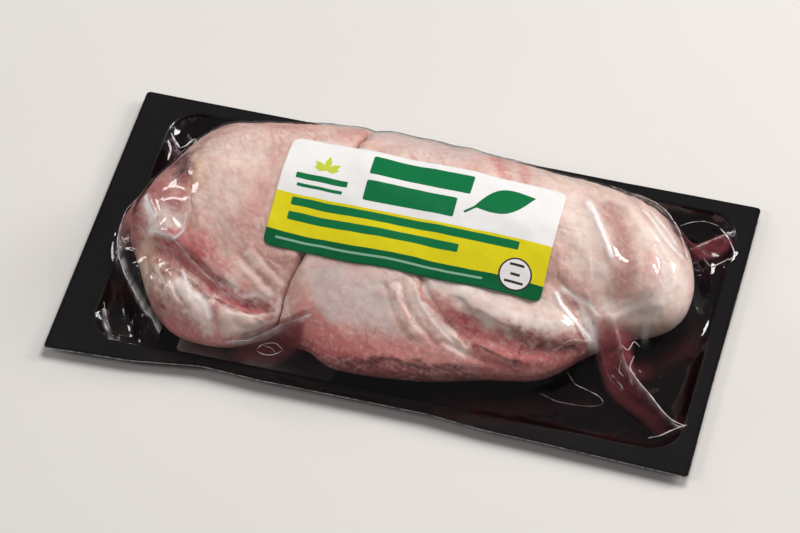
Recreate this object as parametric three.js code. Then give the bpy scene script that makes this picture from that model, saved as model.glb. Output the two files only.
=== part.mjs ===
// A sealed vacuum pack of two raw turkey thighs: a black tray web, a soaker pad, the two thighs side by side,
// the clear film drawn down round them, and a label on top. Millimetres, +Z up.
// X runs along the pack's long side and the near side is -Y. The origin is the middle of the pack's outline,
// at the level of the surface that the tray's floor rests on.
import * as THREE from "three";

// The pack as a whole
const PACK_LENGTH = 300;
const PACK_WIDTH = 165;
const FLANGE_TOP = 6;
const WEB = 0.8;
const TRAY_STEPS = [5, 18, 9];
const GAP = 0.35;

// The tray's shallow pocket, inside the sealed flange
const POCKET = { x0: -134, x1: 143, y0: -71, y1: 76, corner: 16 };
const FLOOR_INSET = 5;
const FLOOR_BORDER = 12;
const OUTER_CORNER = 2;
// The most that the near edge curls up, and that the right edge waves
const NEAR_CURL = 1.6;
const RIGHT_WAVE = 1.6;
// How far the vacuum has drawn the near edge in, as [x, distance] from the left corner to the right one
const NEAR_BOW = [[-150, 0], [-110, 1.8], [-77, 6.2], [-48, 4.8], [0, 5.2], [30, 5], [55, 2.9], [85, 2.2], [150, 0]];
const DEEPEST_BOW = 6;
const WAVE_CENTRE = 0.6;

// The soaker pad under the left thigh
const PAD = { x0: -92, x1: -18, y0: -66, y1: 57, thickness: 1.2 };
const PAD_MARGIN = 8;
const PAD_STEPS = [2, 1, 1];

// The two thighs together, as one loaf: its outline in plan at its widest level, left end and right end
const WIDEST_LEVEL = 17;
const LEFT_END = [
  [-51, -60.5], [-70, -67], [-89, -66.5], [-102, -60], [-112, -49], [-120.5, -34], [-128, -19], [-129.5, -5],
  [-126, 9], [-119, 25], [-111, 38], [-98, 48.5], [-80, 53.5], [-58, 55], [-36, 56],
];
const RIGHT_END = [
  [-6, 58], [16, 57.5], [38, 55.5], [60, 54], [84, 53], [106, 48], [121, 37], [130, 20], [131, 3],
  [125, -14], [113, -25], [96, -35], [75, -48], [50, -56.5], [25, -64], [0, -67.5], [-20, -67.5], [-33, -61],
];
const OUTLINE_STEPS = 10;
// The ridge of the loaf in plan, and the height of its crown along X
const RIDGE = [[-78, 2], [-52, 13], [-20, 15], [20, 13], [50, 10], [74, 8]];
const CROWN = [
  [-131, 45], [-112, 51], [-90, 55.5], [-60, 57.6], [-30, 58.3], [20, 58.5], [55, 57], [90, 52.5], [112, 48], [131, 41],
];
// How the loaf falls away from its ridge on each side, as the two powers of a superellipse
const FALL = { near: [1.03, 1.45], far: [2.3, 2.2], left: [1.9, 2.0], right: [2.0, 2.1] };
const RIDGE_SOFTNESS = 8;
const SIDE_BLEND = 1.5;

// The crease where the thighs press together, as a line in plan, x = CREASE_X + CREASE_LEAN * y
const CREASE_X = -36.7;
const CREASE_LEAN = 0.195;
const CREASE_GAP = 0.8;
const CREASE_ROUNDING = 14;
const SHOULDER_POWERS = [26, 2.4];
const UNDERSIDE_POWERS = [5, 2.2];
const THIGHS = {
  thigh_left: { centre: [-82, -2], side: -1, bed: 2.7 },
  thigh_right: { centre: [44, -2], side: 1, bed: 1.2 },
};
const THIGH_STEPS = 64;
const TOP_RINGS = 20;
const UNDER_RINGS = [0.97, 0.9, 0.78, 0.6];

// Folds of skin, fat and bared muscle, as [height, half width, route in plan]; a height below 0 is a groove
const FOLDS = [
  [2.0, 4.5, [[-121, -10], [-113, -23], [-103, -34], [-98, -36]]],
  [-2.2, 4.5, [[-116, -30], [-101, -39], [-90, -46], [-78, -51], [-64, -54], [-50, -53]]],
  [1.6, 4.5, [[-96, -52], [-88, -57], [-80, -62], [-66, -63], [-54, -58]]],
  [-1.8, 6, [[-112, 15], [-107, 4], [-104, -8]]],
  [1.4, 5, [[-106, -14], [-96, -22], [-88, -33]]],
  [1.5, 4, [[80, 23], [86, 11], [94, 1]]],
  [-2.0, 6, [[86, 25], [97, 11], [102, -3], [99, -14]]],
  [1.8, 5, [[97, 31], [108, 22], [115, 6], [116, -8]]],
  [-1.8, 4, [[74, -19], [83, -25], [90, -31]]],
  [-2.2, 4.5, [[11, -29], [15, -36], [21, -42], [30, -47], [38, -50]]],
  [1.8, 5.5, [[33, -34], [45, -36], [60, -37], [74, -36], [85, -32]]],
  [-2.0, 4.5, [[38, -43], [52, -45], [66, -45], [79, -42], [92, -35]]],
];
const FOLD_FADE = 0.1;

// The film: the seal on the flange, the skirt down to the tray, and the pleats that stand off it
const FILM_THICKNESS = 0.4;
const FILM_STEPS = 104;
const FILM_REST = 0.6;
const FILM_MARGIN = 1.5;
const FILM_RING_STEP = 0.4;
const SHOULDERS = [0.9, 0.955, 0.99];
const SKIRT_REACH = 7;
const SKIRT_RINGS = [0.35, 0.7, 1];
// Pleats and bubbles of film, as [height, half width, route in plan]
const PLEATS = [
  [9, 6, [[106, -31], [118, -40], [130, -49], [139, -54]]],
  [3.5, 6, [[84, -46], [96, -47], [104, -45]]],
  [5, 7, [[122, 46], [131, 53], [138, 57]]],
  [7, 7, [[-122, 50], [-130, 58]]],
  [4.5, 7, [[-126, -60], [-122, -69]]],
  [12, 4.5, [[-133, -14], [-131, -27], [-125, -40], [-117, -52], [-108, -61]]],
];

// The label, draped over the crown
const LABEL = { length: 131, width: 57, corner: 3.5, x: -60.2, y: 26.5, turn: -0.012, thickness: 0.35, rest: 0.55 };
const LABEL_STEPS = [22, 9];
const CROWN_STRETCH = 0.985;
const SLOPE_STEP = 0.5;

// One number between the entries of a list of [position, value], straight from one to the next
function along(list, at) {
  const clamped = Math.min(Math.max(at, list[0][0]), list[list.length - 1][0]);
  let i = 1;
  while (list[i][0] < clamped) i++;
  const [a, va] = list[i - 1];
  const [b, vb] = list[i];
  return va + ((vb - va) * (clamped - a)) / (b - a);
}

// A closed smooth curve through points in plan, as a fine polygon
function closedCurve(points, stepsPerPoint) {
  const knots = points.map(([x, y]) => new THREE.Vector3(x, y, 0));
  const curve = new THREE.CatmullRomCurve3(knots, true, "catmullrom", 0.5);
  const fine = [];
  for (let i = 0; i < points.length * stepsPerPoint; i++) {
    const p = curve.getPoint(i / (points.length * stepsPerPoint));
    fine.push([p.x, p.y]);
  }
  return fine;
}

// How far it is from a point to the polygon round it, in the direction [dx, dy]
function reach(polygon, [px, py], [dx, dy]) {
  let best = 0;
  for (let i = 0; i < polygon.length; i++) {
    const [ax, ay] = polygon[i];
    const [bx, by] = polygon[(i + 1) % polygon.length];
    const across = dx * (by - ay) - dy * (bx - ax);
    if (Math.abs(across) < 1e-12) continue;
    const away = ((ax - px) * (by - ay) - (ay - py) * (bx - ax)) / across;
    const share = ((ax - px) * dy - (ay - py) * dx) / across;
    if (share >= 0 && share <= 1 && away > best) best = away;
  }
  return best;
}

const loafOutline = closedCurve([...LEFT_END, ...RIGHT_END], OUTLINE_STEPS);
const packBox = {
  x0: -PACK_LENGTH / 2, x1: PACK_LENGTH / 2, y0: -PACK_WIDTH / 2, y1: PACK_WIDTH / 2, corner: OUTER_CORNER,
};
const packOutline = roundedRectangle(packBox);

// Where a point lies on the loaf: its foot on the ridge, the direction out, and the distance over the reach
function placeOnLoaf(x, y) {
  const footX = Math.min(Math.max(x, RIDGE[0][0]), RIDGE[RIDGE.length - 1][0]);
  const foot = [footX, along(RIDGE, footX)];
  const distance = Math.hypot(x - foot[0], y - foot[1]);
  const out = distance > 1e-9 ? [(x - foot[0]) / distance, (y - foot[1]) / distance] : [0, 1];
  return { foot, out, distance, edge: reach(loafOutline, foot, out) };
}

// The height of the loaf's top over a point in plan, without its folds
function loafHeight(x, y) {
  const { out, distance, edge } = placeOnLoaf(x, y);
  const soft = (d) => Math.hypot(d, RIDGE_SOFTNESS) - RIDGE_SOFTNESS;
  const share = Math.min(soft(distance) / soft(edge), 1);
  const weights = {
    near: Math.max(-out[1], 0) ** SIDE_BLEND,
    far: Math.max(out[1], 0) ** SIDE_BLEND,
    left: Math.max(-out[0], 0) ** SIDE_BLEND,
    right: Math.max(out[0], 0) ** SIDE_BLEND,
  };
  let total = 0;
  let flat = 0;
  let round = 0;
  for (const side of Object.keys(FALL)) {
    total += weights[side];
    flat += weights[side] * FALL[side][0];
    round += weights[side] * FALL[side][1];
  }
  const rise = Math.max(1 - share ** (flat / total), 0) ** (total / round);
  return WIDEST_LEVEL + (along(CROWN, x) - WIDEST_LEVEL) * rise;
}

// The sum of soft ridges and grooves, each a route in plan with a rounded section
function relief(routes, x, y) {
  let sum = 0;
  for (const [height, halfWidth, route] of routes) {
    let nearest = Infinity;
    for (let i = 1; i < route.length; i++) {
      const [ax, ay] = route[i - 1];
      const [bx, by] = route[i];
      const length2 = (bx - ax) ** 2 + (by - ay) ** 2;
      const share = Math.min(Math.max(((x - ax) * (bx - ax) + (y - ay) * (by - ay)) / length2, 0), 1);
      nearest = Math.min(nearest, Math.hypot(x - ax - share * (bx - ax), y - ay - share * (by - ay)));
    }
    sum += height * Math.exp(-((nearest / halfWidth) ** 2));
  }
  return sum;
}

// The height that a sheet drawn over the loaf rests at: on its ridges, and across its grooves
function skinHeight(x, y) {
  return loafHeight(x, y) + Math.max(relief(FOLDS, x, y), 0);
}

// A thigh's edge in one direction from its centre: the loaf's outline, cut off at the crease, with a rounded corner
function thighEdge(thigh, angle) {
  const direction = [Math.cos(angle), Math.sin(angle)];
  const toLoaf = reach(loafOutline, thigh.centre, direction);
  const creaseAt = CREASE_X + (thigh.side * CREASE_GAP) / 2 + CREASE_LEAN * thigh.centre[1];
  const toCrease = (creaseAt - thigh.centre[0]) / (direction[0] - CREASE_LEAN * direction[1]);
  if (toCrease <= 0) return { radius: toLoaf, creaseShare: 0 };
  const fromLoaf = toLoaf ** -CREASE_ROUNDING;
  const fromCrease = toCrease ** -CREASE_ROUNDING;
  const sum = fromLoaf + fromCrease;
  return { radius: sum ** (-1 / CREASE_ROUNDING), creaseShare: fromCrease / sum };
}

// A closed mesh from rings of points, each ring as long as the next, with a point that closes each end
function closedRings(first, rings, last) {
  const count = rings[0].length;
  const positions = [first, ...rings.flat(), last].flat();
  const index = [];
  const at = (ring, step) => 1 + ring * count + (step % count);
  const end = 1 + rings.length * count;
  for (let i = 0; i < count; i++) {
    index.push(0, at(0, i), at(0, i + 1));
    for (let r = 0; r + 1 < rings.length; r++) {
      index.push(at(r, i), at(r + 1, i), at(r + 1, i + 1));
      index.push(at(r, i), at(r + 1, i + 1), at(r, i + 1));
    }
    index.push(end, at(rings.length - 1, i + 1), at(rings.length - 1, i));
  }
  const geometry = new THREE.BufferGeometry();
  geometry.setAttribute("position", new THREE.Float32BufferAttribute(positions, 3));
  geometry.setIndex(index);
  return geometry;
}

// A closed mesh like a tyre: sections all the way round, each a closed loop of points
function closedSections(sections) {
  const count = sections[0].length;
  const index = [];
  const at = (section, step) => (section % sections.length) * count + (step % count);
  for (let s = 0; s < sections.length; s++) {
    for (let i = 0; i < count; i++) {
      index.push(at(s, i), at(s, i + 1), at(s + 1, i + 1));
      index.push(at(s, i), at(s + 1, i + 1), at(s + 1, i));
    }
  }
  const geometry = new THREE.BufferGeometry();
  geometry.setAttribute("position", new THREE.Float32BufferAttribute(sections.flat(2), 3));
  geometry.setIndex(index);
  return geometry;
}

// A rectangle in plan with round corners, anticlockwise, with the same number of points whatever its size
function roundedRectangle({ x0, x1, y0, y1, corner }, [cornerSteps, longSteps, shortSteps] = TRAY_STEPS) {
  const corners = [
    { at: [x1 - corner, y0 + corner], from: -90, side: shortSteps },
    { at: [x1 - corner, y1 - corner], from: 0, side: longSteps },
    { at: [x0 + corner, y1 - corner], from: 90, side: shortSteps },
    { at: [x0 + corner, y0 + corner], from: 180, side: longSteps },
  ];
  const points = [];
  corners.forEach(({ at, from, side }, k) => {
    for (let i = 0; i <= cornerSteps; i++) {
      const angle = THREE.MathUtils.degToRad(from + (90 * i) / cornerSteps);
      points.push([at[0] + corner * Math.cos(angle), at[1] + corner * Math.sin(angle)]);
    }
    const start = points[points.length - 1];
    const next = corners[(k + 1) % corners.length];
    const facing = THREE.MathUtils.degToRad(next.from);
    const goal = [next.at[0] + corner * Math.cos(facing), next.at[1] + corner * Math.sin(facing)];
    for (let i = 1; i < side; i++) {
      points.push([start[0] + ((goal[0] - start[0]) * i) / side, start[1] + ((goal[1] - start[1]) * i) / side]);
    }
  });
  return points;
}

// A rectangle moved in from all its sides
function inset(box, by) {
  return { x0: box.x0 + by, x1: box.x1 - by, y0: box.y0 + by, y1: box.y1 - by, corner: Math.max(box.corner - by, 1) };
}

// How much of the flange's bend a point takes: none at the pocket, all at the outer edge
function flangeShare(x, y) {
  const nearShare = (POCKET.y0 - y) / (POCKET.y0 + PACK_WIDTH / 2);
  return THREE.MathUtils.clamp(nearShare, 0, 1);
}

// The flange's outer edge, drawn in and curled up by the vacuum on its near side and waved on its right
function bendFlange([x, y], z) {
  const near = flangeShare(x, y);
  const right = THREE.MathUtils.clamp((x - POCKET.x1) / (PACK_LENGTH / 2 - POCKET.x1), 0, 1);
  const bow = along(NEAR_BOW, x);
  const alongRight = THREE.MathUtils.clamp((y + PACK_WIDTH / 2) / PACK_WIDTH, 0, 1);
  const wave = -RIGHT_WAVE * right * Math.sin(Math.PI * alongRight) ** 2 * (WAVE_CENTRE - alongRight);
  return [x + wave, y + bow * near, z + NEAR_CURL * near * (bow / DEEPEST_BOW)];
}

function makeTray() {
  const ring = (box, z) => roundedRectangle(box).map((p) => bendFlange(p, z));
  const floor = inset(POCKET, FLOOR_INSET);
  const rings = [
    ring(inset(floor, FLOOR_BORDER), WEB),
    ring(floor, WEB),
    ring(POCKET, FLANGE_TOP),
    ring(packBox, FLANGE_TOP),
    ring(packBox, FLANGE_TOP - WEB),
    ring(inset(POCKET, -WEB), FLANGE_TOP - WEB),
    ring(inset(floor, -WEB), 0),
    ring(inset(floor, FLOOR_BORDER), 0),
  ];
  const middle = [(POCKET.x0 + POCKET.x1) / 2, (POCKET.y0 + POCKET.y1) / 2];
  return closedRings([...middle, WEB], rings, [...middle, 0]);
}

function makePad() {
  const outline = { ...PAD, corner: 2 };
  const low = WEB + GAP;
  const ring = (box, z) => roundedRectangle(box, PAD_STEPS).map(([x, y]) => [x, y, z]);
  const rings = [
    ring(inset(outline, 1), low + PAD.thickness),
    ring(outline, low + PAD.thickness * 0.6),
    ring(outline, low + PAD.thickness * 0.3),
    ring(inset(outline, 0.8), low),
  ];
  const middle = [(PAD.x0 + PAD.x1) / 2, (PAD.y0 + PAD.y1) / 2];
  return closedRings([...middle, low + PAD.thickness], rings, [...middle, low]);
}

// The top of a thigh over a point in plan: the loaf, rounded off at the crease, with its folds
function thighTop(x, y, share, creaseShare) {
  const [flat, round] = SHOULDER_POWERS;
  const shoulder = 1 - creaseShare * (1 - (1 - share ** flat) ** (1 / round));
  const fade = THREE.MathUtils.clamp((1 - share) / FOLD_FADE, 0, 1);
  const height = WIDEST_LEVEL + (loafHeight(x, y) - WIDEST_LEVEL) * shoulder;
  return Math.max(height + fade * relief(FOLDS, x, y), WIDEST_LEVEL);
}

function makeThigh(thigh) {
  const [cx, cy] = thigh.centre;
  const edges = [];
  for (let i = 0; i < THIGH_STEPS; i++) {
    const angle = (2 * Math.PI * i) / THIGH_STEPS;
    edges.push({ angle, ...thighEdge(thigh, angle) });
  }
  const ring = (share, heightAt) =>
    edges.map(({ angle, radius, creaseShare }) => {
      const x = cx + radius * share * Math.cos(angle);
      const y = cy + radius * share * Math.sin(angle);
      return [x, y, heightAt(x, y, creaseShare)];
    });
  const rings = [];
  for (let k = 1; k < TOP_RINGS; k++) {
    const share = Math.sin((0.5 * Math.PI * k) / TOP_RINGS);
    rings.push(ring(share, (x, y, creaseShare) => thighTop(x, y, share, creaseShare)));
  }
  rings.push(ring(1, () => WIDEST_LEVEL));
  const [flat, round] = UNDERSIDE_POWERS;
  for (const share of UNDER_RINGS) {
    const drop = (1 - share ** flat) ** (1 / round);
    rings.push(ring(share, () => WIDEST_LEVEL - (WIDEST_LEVEL - thigh.bed) * drop));
  }
  return closedRings([cx, cy, thighTop(cx, cy, 0, 0)], rings, [cx, cy, thigh.bed]);
}

// How far in from the pocket's edge a point in plan lies; it is negative outside
function insidePocket(x, y) {
  const { x0, x1, y0, y1, corner } = POCKET;
  const right = Math.abs(x - (x0 + x1) / 2) - (x1 - x0) / 2 + corner;
  const up = Math.abs(y - (y0 + y1) / 2) - (y1 - y0) / 2 + corner;
  return corner - Math.hypot(Math.max(right, 0), Math.max(up, 0)) - Math.min(Math.max(right, up), 0);
}

// The height of the tray's upper face, or of the pad on it, under a point in plan
function groundTop(x, y) {
  const slope = THREE.MathUtils.clamp(insidePocket(x, y) / FLOOR_INSET, 0, 1);
  const tray = FLANGE_TOP - (FLANGE_TOP - WEB) * slope;
  const overPadX = x > PAD.x0 - PAD_MARGIN && x < PAD.x1 + PAD_MARGIN;
  const overPadY = y > PAD.y0 - PAD_MARGIN && y < PAD.y1 + PAD_MARGIN;
  return overPadX && overPadY ? Math.max(tray, WEB + GAP + PAD.thickness) : tray;
}

// Even steps along the loaf's outline
function walkOutline(steps) {
  const sides = [];
  let walked = 0;
  loafOutline.forEach((from, i) => {
    const to = loafOutline[(i + 1) % loafOutline.length];
    const length = Math.hypot(to[0] - from[0], to[1] - from[1]);
    sides.push({ from, to, start: walked, length });
    walked += length;
  });
  const points = [];
  for (let i = 0; i < steps; i++) {
    const target = (walked * i) / steps;
    const side = sides.find((q) => target < q.start + q.length);
    const share = (target - side.start) / side.length;
    points.push([0, 1].map((k) => side.from[k] + (side.to[k] - side.from[k]) * share));
  }
  return points;
}

// One section of the film, from the meat's shoulder down its skirt, over the pocket's floor and onto the flange
function filmSection(rim) {
  const { foot, out, edge } = placeOnLoaf(...rim);
  const pocketEdge = roundedRectangle(POCKET);
  const toPocket = reach(pocketEdge, foot, out);
  const toFloor = reach(roundedRectangle(inset(POCKET, FLOOR_INSET)), foot, out);
  const toPackEdge = reach(packOutline, foot, out) - FILM_MARGIN;
  const point = (distance) => [foot[0] + out[0] * distance, foot[1] + out[1] * distance];
  const upper = [];
  const lower = [];
  for (const shoulder of SHOULDERS) {
    const z = skinHeight(...point(edge * shoulder)) + GAP;
    upper.push([...point(edge * shoulder + FILM_REST + FILM_THICKNESS), z + FILM_THICKNESS]);
    lower.push([...point(edge * shoulder + FILM_REST), z]);
  }
  const wall = edge + FILM_REST;
  upper.push([...point(wall + FILM_THICKNESS), WIDEST_LEVEL]);
  lower.push([...point(wall), WIDEST_LEVEL]);
  lower.push([...point(wall), groundTop(...point(wall)) + GAP]);
  const start = wall + FILM_THICKNESS;
  const skirt = THREE.MathUtils.clamp(toPocket - start - 1, 1, SKIRT_REACH);
  for (const step of SKIRT_RINGS) {
    const [x, y] = point(start + skirt * step);
    const base = groundTop(x, y) + GAP;
    const hang = (WIDEST_LEVEL - base) * (1 - step) ** 2;
    upper.push([x, y, base + FILM_THICKNESS + hang + relief(PLEATS, x, y)]);
    lower.push([x, y, base]);
  }
  const onFloor = Math.max(toFloor, start + skirt + FILM_RING_STEP);
  const onFlange = Math.max(toPocket, onFloor + FILM_RING_STEP);
  const rings = [
    [(start + skirt + onFloor) / 2, 1],
    [onFloor, 1],
    [onFlange, 0.5],
    [toPackEdge, 0],
  ];
  for (const [distance, pleated] of rings) {
    const [x, y] = point(distance);
    const base = groundTop(x, y) + GAP;
    const lift = FILM_THICKNESS + pleated * relief(PLEATS, x, y);
    upper.push(bendFlange([x, y], base + lift));
    lower.push(bendFlange([x, y], base));
  }
  return [...lower, ...upper.reverse()];
}

// The film's sections go round the loaf in even steps, with one straight to each corner of the pack
function makeFilm() {
  const rims = walkOutline(FILM_STEPS);
  const far = (p, q) => Math.hypot(p[0] - q[0], p[1] - q[1]);
  for (const x of [packBox.x0 + FILM_MARGIN, packBox.x1 - FILM_MARGIN]) {
    for (const y of [packBox.y0 + FILM_MARGIN, packBox.y1 - FILM_MARGIN]) {
      const { foot, out, edge } = placeOnLoaf(x, y);
      const rim = [foot[0] + out[0] * edge, foot[1] + out[1] * edge];
      const nearest = rims.reduce((best, p, i) => (far(p, rim) < far(rims[best], rim) ? i : best), 0);
      rims[nearest] = rim;
    }
  }
  return closedSections(rims.map(filmSection));
}

// The place of the label's point [u, v], u along it and v down from its top edge
function onLabel(u, v) {
  const x = LABEL.x + u * CROWN_STRETCH;
  let y = LABEL.y + LABEL.turn * u;
  const strides = Math.ceil(v);
  for (let i = 0; i < strides; i++) {
    const slope = (loafHeight(x, y) - loafHeight(x, y - SLOPE_STEP)) / SLOPE_STEP;
    y -= v / strides / Math.hypot(1, slope);
  }
  return [x, y];
}

function makeLabel() {
  const [columns, rows] = LABEL_STEPS;
  const upper = [];
  const lower = [];
  for (let j = 0; j <= rows; j++) {
    const v = (LABEL.width * j) / rows;
    const fromEnd = Math.min(v, LABEL.width - v);
    const trim = fromEnd < LABEL.corner ? LABEL.corner - Math.sqrt(LABEL.corner ** 2 - (LABEL.corner - fromEnd) ** 2) : 0;
    for (let i = 0; i <= columns; i++) {
      const u = trim + ((LABEL.length - 2 * trim) * i) / columns;
      const [x, y] = onLabel(u, v);
      const z = skinHeight(x, y) + LABEL.rest;
      lower.push([x, y, z]);
      upper.push([x, y, z + LABEL.thickness]);
    }
  }
  const across = columns + 1;
  const count = upper.length;
  const index = [];
  for (let j = 0; j < rows; j++) {
    for (let i = 0; i < columns; i++) {
      const a = j * across + i;
      const b = a + across;
      index.push(a, b, b + 1, a, b + 1, a + 1);
      index.push(count + a, count + b + 1, count + b, count + a, count + a + 1, count + b + 1);
    }
  }
  const rim = [];
  for (let i = 0; i < columns; i++) rim.push(i);
  for (let j = 0; j < rows; j++) rim.push(j * across + columns);
  for (let i = columns; i > 0; i--) rim.push(rows * across + i);
  for (let j = rows; j > 0; j--) rim.push(j * across);
  rim.forEach((a, k) => {
    const b = rim[(k + 1) % rim.length];
    index.push(a, b, count + b, a, count + b, count + a);
  });
  const geometry = new THREE.BufferGeometry();
  geometry.setAttribute("position", new THREE.Float32BufferAttribute([...upper, ...lower].flat(), 3));
  geometry.setIndex(index);
  return geometry;
}

const materials = {
  black_web: new THREE.MeshStandardMaterial({ color: 0x0d0c0d, roughness: 0.3, metalness: 0 }),
  pad_paper: new THREE.MeshStandardMaterial({ color: 0x8f8484, roughness: 0.8, metalness: 0 }),
  left_meat: new THREE.MeshStandardMaterial({ color: 0xd2a9a2, roughness: 0.35, metalness: 0 }),
  right_meat: new THREE.MeshStandardMaterial({ color: 0xdcb5ad, roughness: 0.35, metalness: 0 }),
  clear_film: new THREE.MeshStandardMaterial({ color: 0xc9bfc0, roughness: 0.08, metalness: 0 }),
  label_print: new THREE.MeshStandardMaterial({ color: 0xe8e6e4, roughness: 0.4, metalness: 0 }),
};
materials.clear_film.transparent = true;
materials.clear_film.opacity = 0.35;

const pieces = [
  ["tray", makeTray(), materials.black_web],
  ["pad", makePad(), materials.pad_paper],
  ["thigh_left", makeThigh(THIGHS.thigh_left), materials.left_meat],
  ["thigh_right", makeThigh(THIGHS.thigh_right), materials.right_meat],
  ["film", makeFilm(), materials.clear_film],
  ["label", makeLabel(), materials.label_print],
];
const pack = new THREE.Group();
for (const [name, geometry, material] of pieces) {
  geometry.computeVertexNormals();
  const mesh = new THREE.Mesh(geometry, material);
  mesh.name = name;
  pack.add(mesh);
}
export default pack;
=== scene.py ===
"""The looks of a sealed vacuum pack of two raw turkey thighs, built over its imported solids.

The thighs are fine meshes with painted and procedural flesh. A clear film is drawn down over them, with
wrinkles, standing pleats and a little dark purge under it. The tray web, the soaker pad and the label follow.
Lengths are in millimetres until a mesh is made. X runs along the pack, the near side is -Y, and +Z is up.
"""
import math

import bpy
import numpy as np
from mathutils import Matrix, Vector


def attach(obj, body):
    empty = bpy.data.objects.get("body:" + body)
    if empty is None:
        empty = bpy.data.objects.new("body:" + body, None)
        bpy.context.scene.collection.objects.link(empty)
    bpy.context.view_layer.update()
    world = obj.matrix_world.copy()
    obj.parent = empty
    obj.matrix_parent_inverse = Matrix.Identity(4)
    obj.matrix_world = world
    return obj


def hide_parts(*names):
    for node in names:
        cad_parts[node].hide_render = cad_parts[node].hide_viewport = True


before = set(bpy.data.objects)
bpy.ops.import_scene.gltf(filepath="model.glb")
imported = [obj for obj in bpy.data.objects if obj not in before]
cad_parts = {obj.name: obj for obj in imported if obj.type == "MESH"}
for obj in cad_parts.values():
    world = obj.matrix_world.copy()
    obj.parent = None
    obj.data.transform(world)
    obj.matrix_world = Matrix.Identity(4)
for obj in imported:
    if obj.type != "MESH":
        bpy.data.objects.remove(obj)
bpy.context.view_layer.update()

MM = 0.001

# The pack: its outline, the sealed flange and the shallow pocket, as in the solids
PACK = {"x0": -150.0, "x1": 150.0, "y0": -82.5, "y1": 82.5, "corner": 2.0}
POCKET = {"x0": -134.0, "x1": 143.0, "y0": -71.0, "y1": 76.0, "corner": 16.0}
FLANGE_TOP = 6.0
WEB = 0.8
FLOOR_INSET = 5.0
FLANGE_WAVE = 0.22
FLANGE_WAVE_CELL = 42
NEAR_CURL = 1.6
RIGHT_WAVE = 1.6
WAVE_CENTRE = 0.6
NEAR_BOW = [(-150, 0), (-110, 1.8), (-77, 6.2), (-48, 4.8), (0, 5.2), (30, 5), (55, 2.9), (85, 2.2), (150, 0)]
DEEPEST_BOW = 6.0
# The web's rings, by how far in from the pocket's edge they lie, and then by their share of the flange
POCKET_RINGS = (30, 22, 15, 10, 8, 6.5, 5.5, 4.9, 4.2, 3.5, 2.8, 2.1, 1.4, 0.8, 0.3, 0, -0.8, -2)
FLANGE_RINGS = (0.25, 0.5, 0.75, 0.9, 0.96)
CUT_INSET = 0.25
CUT_ROUNDING = 0.2

# The soaker pad, with its rings by how far in they lie, its seam by insets and heights, and its quilting
PAD = {"x0": -92.0, "x1": -18.0, "y0": -66.0, "y1": 57.0, "corner": 2.0}
PAD_LOW = 1.15
PAD_THICKNESS = 1.2
PAD_LAP = 3
PAD_RINGS = (34, 30, 26, 22, 18, 14, 11, 8, 6, 4, 2.5, 1.2)
PAD_SEAM = ((0, 0.7), (0, 0.4), (1, 0))
PAD_STEPS = (4, 70, 45)
PAD_SOAKED = {"strength": 0.9, "from_x": -62, "over_x": 28, "from_y": -20, "over_y": 30}
QUILT = 9
QUILT_DEPTH = 0.18

# The loaf that the two thighs make together: the solids' own, but for a closer fit of its right end,
# its crown and its crease
WIDEST_LEVEL = 17.0
CROWN_LEVEL = 58.0
LOAF_OUTLINE = [
    (-52, -61.8), (-69, -68.8), (-89, -68), (-101.5, -60.4), (-110.5, -48.5), (-118.5, -33.5), (-127, -19),
    (-129.5, -5), (-126, 9), (-119, 25), (-111, 38), (-98, 48.5), (-80, 53.5), (-58, 55), (-36, 56),
    (-6, 58), (16, 57.5), (38, 55.5), (60, 54), (84, 54), (107, 50.5), (122.5, 39), (130.5, 20), (131, 3),
    (124.5, -8.5), (109.5, -16.5), (94.5, -30), (76, -49.5), (50, -56.5), (25, -64), (0, -67.5),
    (-20, -67.5), (-33, -61),
]
RIDGE = [(-78, 2), (-52, 13), (-20, 15), (20, 13), (50, 10), (74, 8)]
CROWN = [
    (-131, 45), (-112, 51), (-90, 55.5), (-60, 57.5), (-30, 58.1), (20, 58.3), (55, 56.9), (90, 52.5),
    (112, 48), (131, 41),
]
FALL = {"near": (1.03, 1.45), "far": (2.3, 2.2), "left": (1.9, 2.0), "right": (2.0, 2.1)}
RIDGE_SOFTNESS = 8.0
SIDE_BLEND = 1.5
OUTLINE_STEPS = 10
ANGLE_STEPS = 721
RIDGE_STEPS = 305
CREASE_X = -36.7
CREASE_LEAN = 0.195
CREASE_GAP = 0.1
CREASE_DEPTH = 4.5
CREASE_ROUNDING = 14.0
SHOULDER_POWERS = (36, 1.7)
UNDERSIDE_POWERS = (5, 2.2)
FOLD_FADE = 0.1
FOLDS = [
    (2.0, 4.5, [(-121, -10), (-113, -23), (-103, -34), (-98, -36)]),
    (-2.2, 4.5, [(-116, -30), (-101, -39), (-90, -46), (-78, -51), (-64, -54), (-50, -53)]),
    (1.6, 4.5, [(-96, -52), (-88, -57), (-80, -62), (-66, -63), (-54, -58)]),
    (-1.8, 6, [(-112, 15), (-107, 4), (-104, -8)]),
    (1.4, 5, [(-106, -14), (-96, -22), (-88, -33)]),
    (1.5, 4, [(80, 23), (86, 11), (94, 1)]),
    (-3.0, 6, [(88, 26), (97, 12), (102, -3), (99, -14)]),
    (1.8, 5, [(97, 31), (108, 22), (115, 6), (116, -8)]),
    (-1.8, 4, [(74, -19), (83, -25), (90, -31)]),
    (-2.2, 4.5, [(11, -29), (15, -36), (21, -42), (30, -47), (38, -50)]),
    (1.8, 5.5, [(33, -34), (45, -36), (60, -37), (74, -36), (85, -32)]),
    (-2.0, 4.5, [(38, -43), (52, -45), (66, -45), (79, -42), (92, -35)]),
]

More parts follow.
